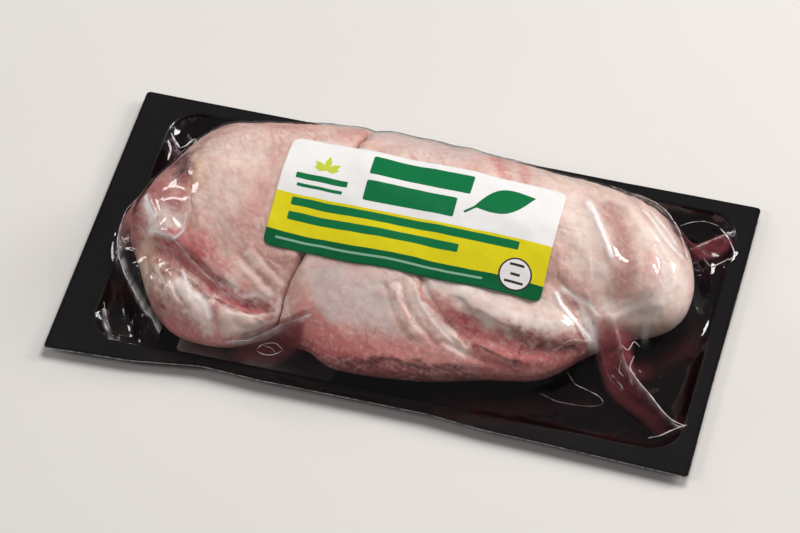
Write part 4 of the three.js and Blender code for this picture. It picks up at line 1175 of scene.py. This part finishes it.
def plain_thigh(thigh):
    """A thigh's rings in the solid's form, each ring's share of the way out, and which are on top."""
    angles, radius, crease_share = thigh_edges(thigh)
    cx, cy = thigh["centre"]
    top_shares = np.sin(0.5 * np.pi * np.arange(1, thigh["rings"] + 1) / thigh["rings"])
    under_shares = np.sin(0.5 * np.pi * np.arange(UNDER_RINGS - 1, 1, -1) / UNDER_RINGS)
    shares = np.concatenate([top_shares, under_shares])[:, None]
    x = cx + radius * shares * np.cos(angles)
    y = cy + radius * shares * np.sin(angles)
    flat, rounded = SHOULDER_POWERS
    loaf = loaf_height(x, y)
    crease_share = crease_share * np.clip(CREASE_DEPTH / np.maximum(loaf - WIDEST_LEVEL, 1), 0, 1)
    shoulder = 1 - crease_share * (1 - np.clip(1 - shares**flat, 0, None) ** (1 / rounded))
    fade = np.clip((1 - shares) / FOLD_FADE, 0, 1)
    top = WIDEST_LEVEL + (loaf - WIDEST_LEVEL) * shoulder
    top = np.maximum(top + fade * relief(FOLDS, x, y), WIDEST_LEVEL)
    flat, rounded = UNDERSIDE_POWERS
    drop = np.clip(1 - shares**flat, 0, None) ** (1 / rounded)
    under = WIDEST_LEVEL - (WIDEST_LEVEL - thigh["bed"]) * drop
    on_top = np.arange(len(shares))[:, None] < thigh["rings"]
    return np.stack([x, y, np.where(on_top, top, under)], -1), shares, on_top


def flesh_detail(rings, grain):
    """How far the finer folds, the ledges, the grain and the lumps raise each point of a thigh's rings."""
    x, y = rings[..., 0], rings[..., 1]
    ledge_x, ledge_y = layered(x, y, LEDGE_WANDER_X, x), layered(x, y, LEDGE_WANDER_Y, y)
    detail = relief(FINE_FOLDS, x, y) + ledges(LEDGES, ledge_x, ledge_y)
    u, v = unrolled(x, y, rings[..., 2])
    for height, length, width, direction, seed in GRAIN:
        patchy = grain * patches_of(u, v, GRAIN_PATCH, seed + 7)
        detail = detail + height * patchy * streaky(u, v, length, width, direction, seed)
    return layered(u, v, LUMPS, detail)


def make_thigh(name, material):
    """One thigh: the solid's form with finer detail raised along its surface. Gives back its points."""
    thigh = THIGHS[name]
    cx, cy = thigh["centre"]
    rings, shares, on_top = plain_thigh(thigh)
    normals = np.cross(np.gradient(rings, axis=0), np.roll(rings, -1, 1) - np.roll(rings, 1, 1))
    normals /= np.linalg.norm(normals, axis=-1, keepdims=True) + 1e-12
    detail = flesh_detail(rings, thigh["grain"]) * np.where(on_top, smooth((1 - shares) / DETAIL_FADE), 0)
    rings = rings + normals * detail[..., None]
    from_crease = rings[..., 0] - CREASE_X - CREASE_LEAN * rings[..., 1]
    wander = layered(rings[..., 1], 0 * from_crease, CREASE_WANDER)
    rings[..., 0] += wander * np.exp(-(from_crease / CREASE_REACH) ** 2)
    middle_top = [cx, cy, float(loaf_height(np.array([cx]), np.array([cy]))[0])]
    points, faces = closed_rings(middle_top, rings, [cx, cy, thigh["bed"]])
    colours = paint_flesh(thigh["paint"], thigh["grain"], *points.T)
    bared = [
        (strength, half_width + BARE_MARGIN, route)
        for code, strength, half_width, route in thigh["paint"] if code in BARE_OF_SKIN
    ]
    skin = np.clip(1 - BARE_STRENGTH * relief(bared, points[:, 0], points[:, 1]), 0, 1)
    make_piece(name + "_flesh", points, faces, material, name, colours, {"skin": skin})
    return points


def bridge(heights, cell, radius):
    """A surface drawn over a height field, which spans hollows tighter than the radius."""
    low = heights.min()
    span = int(math.sqrt(2 * radius * (heights.max() - low)) / cell) + 1

    def pass_over(field, pick, sign):
        for axis in (0, 1):
            padded = np.pad(field, [(span, span) if a == axis else (0, 0) for a in (0, 1)], mode="edge")
            best = field.copy()
            for k in range(-span, span + 1):
                part = padded.take(np.arange(span + k, span + k + field.shape[axis]), axis)
                best = pick(best, part - sign * (k * cell) ** 2 / (2 * radius))
            field = best
        return field

    return pass_over(pass_over(heights, np.maximum, 1), np.minimum, -1)


def ease(field, rounds):
    """A grid's values with their small bumps evened out."""
    for _ in range(rounds):
        for axis in (0, 1):
            padded = np.pad(field, [(1, 1) if a == axis else (0, 0) for a in (0, 1)], mode="edge")
            count = field.shape[axis]
            parts = [padded.take(np.arange(k, k + count), axis) for k in (0, 1, 2)]
            field = (parts[0] + 2 * parts[1] + parts[2]) / 4
    return field


def raster(points, x_line, y_line, cell):
    """The highest of the points in each cell of a grid and in the cells next to it."""
    columns = np.rint((points[:, 0] - x_line[0]) / cell).astype(int)
    rows = np.rint((points[:, 1] - y_line[0]) / cell).astype(int)
    heights = np.full((len(y_line), len(x_line)), -1.0)
    np.maximum.at(heights, (rows, columns), points[:, 2])
    padded = np.pad(heights, 1, mode="edge")
    around = [padded[a:a + heights.shape[0], b:b + heights.shape[1]] for a in (0, 1, 2) for b in (0, 1, 2)]
    return np.maximum.reduce(around)


def at_places(grid, x, y):
    """What a grid, given as its two lines of places and its values or points, has between its own places."""
    x_line, y_line, field = grid
    u = np.clip((x - x_line[0]) / (x_line[1] - x_line[0]), 0, len(x_line) - 1.001)
    v = np.clip((y - y_line[0]) / (y_line[1] - y_line[0]), 0, len(y_line) - 1.001)
    i, j = u.astype(int), v.astype(int)
    a, b = u - i, v - j
    if field.ndim == 3:
        a, b = a[..., None], b[..., None]
    return between_four(lambda over, up: field[j + up, i + over], a, b)


def draw_film(meat_points):
    """The film's height over a grid, before its flange is bent."""
    x_line = np.arange(PACK["x0"] + FILM_MARGIN, PACK["x1"] - FILM_MARGIN + 0.01, FILM_CELL)
    y_line = np.arange(PACK["y0"] + FILM_MARGIN, PACK["y1"] - FILM_MARGIN + 0.01, FILM_CELL)
    x, y = np.meshgrid(x_line, y_line)
    rest = np.maximum(raster(meat_points, x_line, y_line, FILM_CELL), ground_top(x, y)) + FILM_REST
    tight = bridge(rest, FILM_CELL, TIGHT_BRIDGE)
    loose = bridge(rest, FILM_CELL, LOOSE_BRIDGE)
    height = tight + strongest(LOOSE_PLACES, x, y) * (loose - tight)
    height = np.maximum(ease(height, EASING), rest - EASED_INTO)
    creases = relief(WRINKLES, x, y, WRINKLE_POWER)
    for rise, length, width, direction, seed, half_width, route in STREAKS:
        ridge = 1 - np.abs(streaky(x, y, length, width, direction, seed)) * STREAK_NARROWING
        creases += np.clip(ridge, 0, 1) ** 2 * relief([(rise, half_width, route)], x, y, 3)
    label = FLAT_UNDER_LABEL
    off_length = np.abs(x - label["x"]) - label["half_length"]
    off_width = np.abs(y - label["y"]) - label["half_width"]
    creases *= smooth(np.maximum(off_length, off_width) / label["fade"])
    off_meat = smooth((OFF_MEAT_LEVEL - height) / OFF_MEAT_FADE)
    in_pocket = smooth(inside_box(POCKET, x, y) / POCKET_FADE)
    ripple = np.maximum(layered(x, y, RIPPLES) + RIPPLE_LIFT, 0)
    return x_line, y_line, height + creases + off_meat * in_pocket * ripple


def make_film(film, material):
    """The film as a sheet, with painted highlights along its milky creases and the purge smeared under it."""
    x_line, y_line, height = film
    x, y = np.meshgrid(x_line, y_line)
    points = bend_flange(np.stack([x, y, height], -1))
    faces = grid_faces(len(y_line), len(x_line))
    stain = strongest(STAINS, x, y, 3) * layered(x, y, STAIN_CLOUD, STAIN_MEAN)
    places = {"milk_and_painted_glare": strongest(CREASE_MILK_AND_PAINTED_GLARE, x, y), "stain": stain}
    colours = np.tile(linear(STAIN_COLOUR), (x.size, 1))
    make_piece("film_sheet", points, faces, material, "film", colours, places)


def resample(points, steps):
    """Even steps along a line of points."""
    points = np.array(points, float)
    walked = np.concatenate([[0], np.cumsum(np.linalg.norm(np.diff(points, axis=0), axis=1))])
    at = np.linspace(0, walked[-1], steps)
    return np.stack([np.interp(at, walked, points[:, k]) for k in range(points.shape[1])], -1)


def soften(line, rounds):
    """A line of points with its corners eased, its ends kept."""
    for _ in range(rounds):
        line[1:-1] = (line[:-2] + 2 * line[1:-1] + line[2:]) / 4
    return line


def even_line(route, step, least, softening):
    """A route as a line of even steps, with its corners eased."""
    route = np.array(route, float)
    steps = max(int(np.linalg.norm(np.diff(route, axis=0), axis=1).sum() / step), least)
    return soften(resample(route, steps), softening)


def pleat_lines(pleat, film):
    """A pleat's left foot, crest and right foot as lines of as many points each, the feet set on the film."""
    crest = even_line(pleat["crest"], PLEAT_STEP, 2, PLEAT_SOFTENING)
    feet = []
    for side in ("left", "right"):
        foot = soften(resample(pleat[side], len(crest)), PLEAT_SOFTENING)
        feet.append(np.column_stack([foot, at_places(film, *foot.T)]))
    ground = at_places(film, crest[:, 0], crest[:, 1])
    gone = np.linspace(0, 1, len(crest))
    stands = smooth(gone / PLEAT_END) * smooth((1 - gone) / PLEAT_END)
    crest[:, 2] = ground + PLEAT_REST + np.maximum(crest[:, 2] - ground, PLEAT_REST) * stands
    return feet[0], crest, feet[1]


def pleat_sheet(left, crest, right, seed):
    """A pleat's film from foot to foot over its crest, with a little sag and crinkle."""
    across = []
    up, down = np.linspace(0, 1, PLEAT_SIDE_STEPS), np.linspace(1, 0, PLEAT_SIDE_STEPS)[1:]
    for foot, shares in ((left, up), (right, down)):
        stands = crest[:, 2] - foot[:, 2]
        for share in shares:
            slack = math.sin(math.pi * share)
            line = foot * (1 - share) + crest * share
            line[:, 2] -= PLEAT_SAG * stands * slack
            crinkle = noise(line[:, 0] + 7 * share, line[:, 1] + line[:, 2], PLEAT_CRINKLE_CELL, seed)
            line[:, 2] += PLEAT_CRINKLE * np.minimum(np.abs(stands), PLEAT_CRINKLE_LIMIT) * crinkle * slack
            line[:, 0] += PLEAT_SWAY * noise(line[:, 1], line[:, 2], PLEAT_SWAY_CELL, seed + 20) * slack
            across.append(line)
    return np.stack(across)


def pleat_stain(pleat, sheet):
    """How strongly purge is smeared over a pleat's sheet, and its colour there."""
    across, steps = sheet.shape[:2]
    if pleat["stain"] is None:
        return np.zeros(across * steps), np.zeros((across * steps, 3))
    begins, stops, fade, strength, first, last = pleat["stain"]
    gone = np.linspace(0, 1, steps)
    share = strength * smooth((gone - begins) / fade + 0.5) * smooth((stops - gone) / fade + 0.5)
    cloudy = layered(sheet[..., 0], sheet[..., 1] + sheet[..., 2], PLEAT_STAIN_CLOUD, PLEAT_STAIN_MEAN)
    from_feet = np.minimum(np.arange(across), across - 1 - np.arange(across))[:, None]
    stain = (share * cloudy * smooth((from_feet + 0.5) / PLEAT_FOOT_STEPS)).clip(0, 1)
    along_it = gone[:, None]
    return stain.ravel(), np.tile(linear(first) * (1 - along_it) + linear(last) * along_it, (across, 1))


def make_pleats(film, material):
    """The film's standing pleats and bubbles, with the purge that is smeared inside some of them."""
    sheets, stains, milk_and_painted_glare, colours = [], [], [], []
    for number, pleat in enumerate(PLEATS.values()):
        sheet = pleat_sheet(*pleat_lines(pleat, film), PLEAT_SEED + number)
        across, steps = sheet.shape[:2]
        sheet[..., 2] = np.maximum(sheet[..., 2], at_places(film, sheet[..., 0], sheet[..., 1]) + PLEAT_CLEAR)
        sheets.append((sheet.reshape(-1, 3), grid_faces(across, steps, flip=True)))
        stain, colour = pleat_stain(pleat, sheet)
        stains.append(stain)
        colours.append(colour)
        # Painted highlight: a pale band along each pleat's crest, partly the folded film's own paleness
        from_crest = np.abs(np.arange(across) - PLEAT_SIDE_STEPS + 1)[:, None]
        broken = layered(sheet[..., 0], sheet[..., 1], PLEAT_MILK_CLOUD, PLEAT_MILK_MEAN)
        milk_and_painted_glare.append((PLEAT_MILK * np.exp(-(from_crest / PLEAT_MILK_STEPS) ** 2) * broken).ravel())
    points, faces = joined(sheets)
    places = {"stain": np.concatenate(stains), "milk_and_painted_glare": np.concatenate(milk_and_painted_glare)}
    colours = np.concatenate(colours)
    make_piece("film_pleats", bend_flange(points), faces, material, None, colours, places)


def fold_tube(line, wide):
    """A fine tube along a line, thinner at its ends and uneven along its length, with its ends closed."""
    angles = 2 * np.pi * np.arange(FOLD_SIDES) / FOLD_SIDES
    ahead = np.gradient(line, axis=0)
    ahead /= np.linalg.norm(ahead, axis=1, keepdims=True)
    aside = np.cross(ahead, [0, 0, 1.0])
    aside /= np.linalg.norm(aside, axis=1, keepdims=True)
    over = np.cross(aside, ahead)
    gone = np.linspace(0, 1, len(line))
    radius = wide * (FOLD_THIN_END + (1 - FOLD_THIN_END) * np.sin(np.pi * gone) ** 0.5)
    radius = radius * layered(line[:, 0], line[:, 1], FOLD_UNEVEN, 1)
    ring = aside[:, None] * np.cos(angles)[None, :, None] + over[:, None] * np.sin(angles)[None, :, None]
    tube = line[:, None] + ring * radius[:, None, None]
    cap = np.arange(FOLD_SIDES)
    sides = grid_faces(len(line), FOLD_SIDES, closed=True)
    return tube.reshape(-1, 3), [*sides, cap[::-1], (len(line) - 1) * FOLD_SIDES + cap]


def make_fold_lines(film, material):
    """Fine tubes along the film's folded edges, the thicker ones painted glints."""
    tubes = []
    for wide, route in FOLD_AND_GLINT_LINES:
        line = even_line(route, FOLD_STEP, FOLD_LEAST_STEPS, FOLD_SOFTENING)
        line[:, 2] = np.maximum(line[:, 2], at_places(film, line[:, 0], line[:, 1]) + FOLD_REST)
        tubes.append(fold_tube(line, wide))
    points, faces = joined(tubes)
    make_piece("film_folds_and_glints", bend_flange(points), faces, material)


def make_purge(film, material):
    """The purge on the tray: a thin wet layer over the pocket's floor, deeper and redder where it pools."""
    upper, lower, depths = [], [], []
    for step in reversed(PURGE_STEPS):
        ring = box_ring(grow(POCKET, -step))
        x, y = ring[:, 0], ring[:, 1]
        bottom = tray_top(x, y) + PURGE_BED
        off_pad = 1 - smooth((inside_box(PAD, x, y) + PURGE_OFF_PAD) / PAD_LAP)
        depth = (PURGE_SKIN + relief(PURGE_POOLS, x, y)) * smooth(step / PURGE_EDGE) * off_pad + PURGE_WET
        depth = np.minimum(depth, at_places(film, x, y) - PURGE_REST - bottom)
        depth = np.maximum(depth, PURGE_LEAST)
        upper.append(np.column_stack([ring, bottom + depth]))
        lower.append(np.column_stack([ring, bottom]))
        depths.append(depth)
    top_middle, low_middle = middle(POCKET) + [WEB + PURGE_MIDDLE], middle(POCKET) + [WEB + PURGE_BED]
    points, faces = closed_rings(top_middle, np.stack(upper + lower[::-1]), low_middle)
    share = smooth(np.concatenate([[0], *depths, *depths[::-1], [0]]) / PURGE_FULL)
    colours = tinted(np.tile(linear(PURGE_DARK), (len(share), 1)), PURGE_RED, share)
    make_piece("purge_pool", points, faces, material, colours=colours)


def box_ring(box, steps=(8, 90, 50)):
    """A round-cornered box's outline, anticlockwise, with as many points whatever its size."""
    corner_steps, long_steps, short_steps = steps
    corner = box["corner"]
    x0, x1, y0, y1 = box["x0"] + corner, box["x1"] - corner, box["y0"] + corner, box["y1"] - corner
    arcs = []
    for cx, cy, start in ((x1, y0, -90), (x1, y1, 0), (x0, y1, 90), (x0, y0, 180)):
        angles = np.radians(start + 90 * np.arange(corner_steps + 1) / corner_steps)
        arcs.append(np.column_stack([cx + corner * np.cos(angles), cy + corner * np.sin(angles)]))
    points = []
    for k, arc in enumerate(arcs):
        side_steps = (short_steps, long_steps)[k % 2]
        shares = np.arange(1, side_steps)[:, None] / side_steps
        points += [arc, arc[-1] + (arcs[(k + 1) % 4][0] - arc[-1]) * shares]
    return np.concatenate(points)


def grow(box, by):
    """A box moved out from all its sides, or in if the distance is negative."""
    moved = {"x0": box["x0"] - by, "x1": box["x1"] + by, "y0": box["y0"] - by, "y1": box["y1"] + by}
    return {**moved, "corner": max(box["corner"] + by, 1)}


def between(a, b, share):
    """A box between two."""
    return {key: a[key] + (b[key] - a[key]) * share for key in a}


def make_tray(material):
    """The black web, its pocket formed with rounded edges, its cut edge bared all round."""
    boxes = [grow(POCKET, -inset) for inset in POCKET_RINGS]
    boxes += [between(boxes[-1], PACK, share) for share in FLANGE_RINGS]
    upper = []
    for box in [*boxes, grow(PACK, -CUT_INSET)]:
        ring = box_ring(box)
        upper.append(np.column_stack([ring, tray_top(ring[:, 0], ring[:, 1])]))
    outline, rim_top = box_ring(PACK), upper[-1][:, 2]
    rim = [np.column_stack([outline, rim_top - drop]) for drop in (CUT_ROUNDING, WEB - CUT_ROUNDING)]
    lower = [np.column_stack([ring[:, :2], np.maximum(ring[:, 2] - WEB, 0)]) for ring in reversed(upper)]
    rings = bend_flange(np.stack(upper + rim + lower))
    top_middle = middle(POCKET) + [float(upper[0][0, 2])]
    points, faces = closed_rings(top_middle, rings, middle(POCKET) + [0])
    cut = np.zeros(rings.shape[:2])
    cut[len(upper):len(upper) + len(rim)] = 1
    cut = np.concatenate([[0], cut.ravel(), [0]])
    make_piece("tray_web", points, faces, material, "tray", places={"cut": cut})


def make_pad(material):
    """The soaker pad, with a crimped edge and a quilted face."""
    rings = []
    for inset in PAD_RINGS:
        ring = box_ring(grow(PAD, -inset), PAD_STEPS)
        bumps = np.cos(2 * np.pi * ring / QUILT)
        quilt = QUILT_DEPTH * (bumps[:, 0] * bumps[:, 1] - 1)
        rings.append(np.column_stack([ring, PAD_LOW + PAD_THICKNESS + quilt]))
    for inset, height in PAD_SEAM:
        ring = box_ring(grow(PAD, -inset), PAD_STEPS)
        rings.append(np.column_stack([ring, np.full(len(ring), PAD_LOW + height)]))
    top_middle, low_middle = middle(PAD) + [PAD_LOW + PAD_THICKNESS], middle(PAD) + [PAD_LOW]
    points, faces = closed_rings(top_middle, np.stack(rings), low_middle)
    soak = PAD_SOAKED
    rightward = smooth((points[:, 0] - soak["from_x"]) / soak["over_x"])
    nearward = smooth((soak["from_y"] - points[:, 1]) / soak["over_y"])
    soaked = soak["strength"] * rightward * nearward
    make_piece("pad_sheet", points, faces, material, "pad", places={"soaked": soaked})


def label_grid(film):
    """The label's upper face, as its lines of distances along it and down it, and a grid of points.

    It is laid down the slope from its top edge and rests on the film.
    """
    u = np.linspace(0, LABEL["length"], int(LABEL["length"] / LABEL_CELL) + 1)
    v = np.linspace(0, LABEL["width"], int(LABEL["width"] / LABEL_CELL) + 1)
    x = LABEL["x"] + u * CROWN_STRETCH
    y = LABEL["y"] + LABEL["turn"] * u
    step = v[1] - v[0]
    rows = [y]
    for _ in v[1:]:
        slope = (loaf_height(x, y) - loaf_height(x, y - step)) / step
        y = y - step / np.hypot(1, slope)
        rows.append(y)
    corner = LABEL["corner"]
    from_end = np.minimum(np.minimum(v, LABEL["width"] - v), corner)
    trim = corner - np.sqrt(corner**2 - (corner - from_end) ** 2)
    u_rows = [cut + (LABEL["length"] - 2 * cut) * u / LABEL["length"] for cut in trim]
    x = LABEL["x"] + np.stack(u_rows) * CROWN_STRETCH
    y = np.stack([np.interp(u_row, u, row) for u_row, row in zip(u_rows, rows)])
    stiff = bridge(film[2], FILM_CELL, LABEL_STIFFNESS)
    z = at_places((film[0], film[1], stiff), x, y) + LABEL_REST + LABEL_THICKNESS
    return u, v, np.stack([x, y, z], -1)


def make_label(film, stock, ink):
    """The label's stock as a closed sheet, and the ink printed on it."""
    label = label_grid(film)
    top = label[2]
    rows, columns = top.shape[:2]
    count = rows * columns
    quads = grid_faces(rows, columns, flip=True)
    faces = quads.tolist() + (quads[:, ::-1] + count).tolist()
    rim = [*range(columns), *(r * columns + columns - 1 for r in range(1, rows))]
    rim += [*(count - 1 - c for c in range(1, columns)), *(r * columns for r in range(rows - 2, 0, -1))]
    faces += [(a, b, b + count, a + count) for a, b in zip(rim, rim[1:] + rim[:1])]
    points = np.concatenate([top.reshape(-1, 3), (top - [0, 0, LABEL_THICKNESS]).reshape(-1, 3)])
    down = np.tile(np.repeat(label[1], columns), 2)
    make_piece("label_stock", points, faces, stock, "label", places={"down": down})

    prints, colours = [], []
    for code, *shape in ink_shapes():
        grid = printed(label, *shape)
        prints.append((grid.reshape(-1, 3), grid_faces(*grid.shape[:2])))
        colours.append(np.tile(linear(code), (grid.shape[0] * grid.shape[1], 1)))
    points, faces = joined(prints)
    make_piece("label_ink", points, faces, ink, colours=np.concatenate(colours))


def printed(label, start, end, half_width, profile, lift):
    """A shape printed along a line on the label, as wide as its profile says, as a grid of points."""
    run_u, run_v = end[0] - start[0], end[1] - start[1]
    length = math.hypot(run_u, run_v)
    steps = max(int(length / INK_STEP), INK_LEAST_STEPS)
    along_it = 0.5 - 0.5 * np.cos(np.pi * np.linspace(0, 1, steps))
    wide = profile(along_it, length, half_width)
    across = np.linspace(-1, 1, max(int(half_width / INK_ROW), INK_LEAST_ROWS))[:, None]
    at_u = start[0] + run_u * along_it - run_v / length * across * wide
    at_v = start[1] + run_v * along_it + run_u / length * across * wide
    return (at_places(label, at_u, at_v) + [0, 0, lift])[::-1]


def bar(share, length, half_width):
    """The half width of a bar with rounded ends."""
    from_end = np.minimum(share, 1 - share) * length
    rounding = min(half_width * BAR_ROUNDING, BAR_ROUNDING_LIMIT)
    ease_in = np.clip(from_end / rounding, 0, 1)
    return half_width - rounding + rounding * np.sqrt(1 - (1 - ease_in) ** 2)


def leaf(share, length, half_width):
    """The half width of a pointed leaf."""
    return half_width * np.sin(np.pi * share) ** LEAF_POWER


def disc(share, length, half_width):
    """The half width of a round."""
    return half_width * 2 * np.sqrt(np.clip(share * (1 - share), 0, None))


def ink_shapes():
    """Plain printed shapes: two heavy bars, four thin ones, a pale line, leaves and a seal.

    Each is (colour, start, end, half width, profile, lift), its places told along and down the label.
    """
    shapes = []

    def put(code, start, end, half_width, profile=bar, lift=INK_LIFT):
        shapes.append((code, start, end, half_width, profile, lift))

    put(INK_GREEN, (40, 8.6), (88, 8.6), 5.2)
    put(INK_GREEN, (40, 22.2), (83, 22.2), 5.0)
    put(INK_GREEN, (7, 21.6), (31.5, 21.6), 1.5)
    put(INK_GREEN, (8.5, 26.2), (30, 26.2), 0.8)
    for length, direction in SPRIG_LEAVES:
        turn = math.radians(direction)
        tip = (SPRIG[0] + length * math.cos(turn), SPRIG[1] + length * math.sin(turn))
        put(INK_LEAF, SPRIG, tip, 1.5, leaf)
    put(INK_GREEN, (91, 20), (118, 8), 6.8, leaf)
    put(INK_GREEN, (87.5, 23.5), (94, 18.2), 0.6)
    put(INK_GREEN, (8, 34.4), (116, 34.4), 2.0)
    put(INK_GREEN, (8, 41.6), (89, 41.6), 2.0)
    put(INK_PALE, (5, 53.2), (103, 53.2), 0.55)
    for code, radius, lift in ((INK_DARK, 7.8, INK_LIFT), (SEAL_PAPER, 7.0, SEAL_LIFT)):
        put(code, (SEAL_MIDDLE - radius, 48), (SEAL_MIDDLE + radius, 48), radius, disc, lift)
    for down, half in SEAL_BARS:
        put(INK_DARK, (SEAL_MIDDLE - half, down), (SEAL_MIDDLE + half, down), 0.6, bar, SEAL_INK_LIFT)
    return shapes


def make_floor():
    """A wide floor, which the film doesn't mirror."""
    side = 4000
    points = [(-side, -side, 0), (side, -side, 0), (side, side, 0), (-side, side, 0)]
    mesh = bpy.data.meshes.new("studio_floor")
    mesh.from_pydata([tuple(c * MM for c in p) for p in points], [], [(0, 1, 2, 3)])
    floor = bpy.data.objects.new("studio_floor", mesh)
    bpy.context.scene.collection.objects.link(floor)
    floor.data.materials.append(floor_material())
    floor.visible_glossy = False


def aim(thing, place, target):
    """Puts a light or a camera at a place, facing a target."""
    thing.location = [c * MM for c in place]
    forward = Vector([t - p for t, p in zip(target, place)])
    thing.rotation_euler = forward.to_track_quat("-Z", "Y").to_euler()


def make_camera():
    """The photograph's view: its angle, distance and lens."""
    azimuth, elevation, distance = math.radians(14.561), math.radians(49.191), 1961.7
    target = (-6.01, 9.98, 0.0)
    level = math.cos(elevation)
    back = (math.sin(azimuth) * level, -math.cos(azimuth) * level, math.sin(elevation))
    data = bpy.data.cameras.new("camera")
    data.lens = 190
    data.sensor_width = 36
    data.clip_end = 30
    camera = bpy.data.objects.new("camera", data)
    bpy.context.scene.collection.objects.link(camera)
    aim(camera, [t + distance * b for t, b in zip(target, back)], target)
    bpy.context.scene.camera = camera


def make_light(name, place, size, power, colour, mirrored=True):
    """A rectangular light that faces the pack. One that isn't mirrored lights it without a glint."""
    data = bpy.data.lights.new(name, "AREA")
    data.shape = "RECTANGLE"
    data.size, data.size_y = (s * MM for s in size)
    data.energy = power
    data.color = colour
    light = bpy.data.objects.new(name, data)
    light.visible_glossy = mirrored
    bpy.context.scene.collection.objects.link(light)
    aim(light, place, (0, 0, 20))


def make_lights():
    """A soft key overhead, a light at each end that glints in the film, and one in front that doesn't."""
    make_light("key", (300, 420, 1400), (800, 800), 18.2, (1.0, 0.99, 0.975), mirrored=False)
    make_light("right_window", (1150, 680, 880), (420, 620), 12, (1.0, 0.99, 0.97))
    make_light("left_window", (-1300, 560, 620), (260, 520), 3.6, (0.97, 0.985, 1.0))
    make_light("front_window", (-820, -740, 1050), (420, 420), 5.0, (1.0, 1.0, 1.0), mirrored=False)
    world = bpy.data.worlds.new("room")
    world.use_nodes = True
    background = world.node_tree.nodes["Background"]
    background.inputs["Color"].default_value = (0.95, 0.97, 1.0, 1)
    background.inputs["Strength"].default_value = 0.09
    bpy.context.scene.world = world
    bpy.context.scene.view_settings.view_transform = "Standard"


make_camera()
make_floor()
make_lights()
film_finish = film_material()
purge_finish = purge_material()
left_meat = make_thigh("thigh_left", flesh_material("left_flesh", 0.13))
right_meat = make_thigh("thigh_right", flesh_material("right_flesh", 0.41))
film = draw_film(np.concatenate([left_meat, right_meat]))
make_film(film, film_finish)
make_pleats(film, film_finish)
make_fold_lines(film, fold_and_glint_material())
make_purge(film, purge_finish)
make_tray(web_material())
make_pad(pad_material())
make_label(film, label_material(), ink_material())
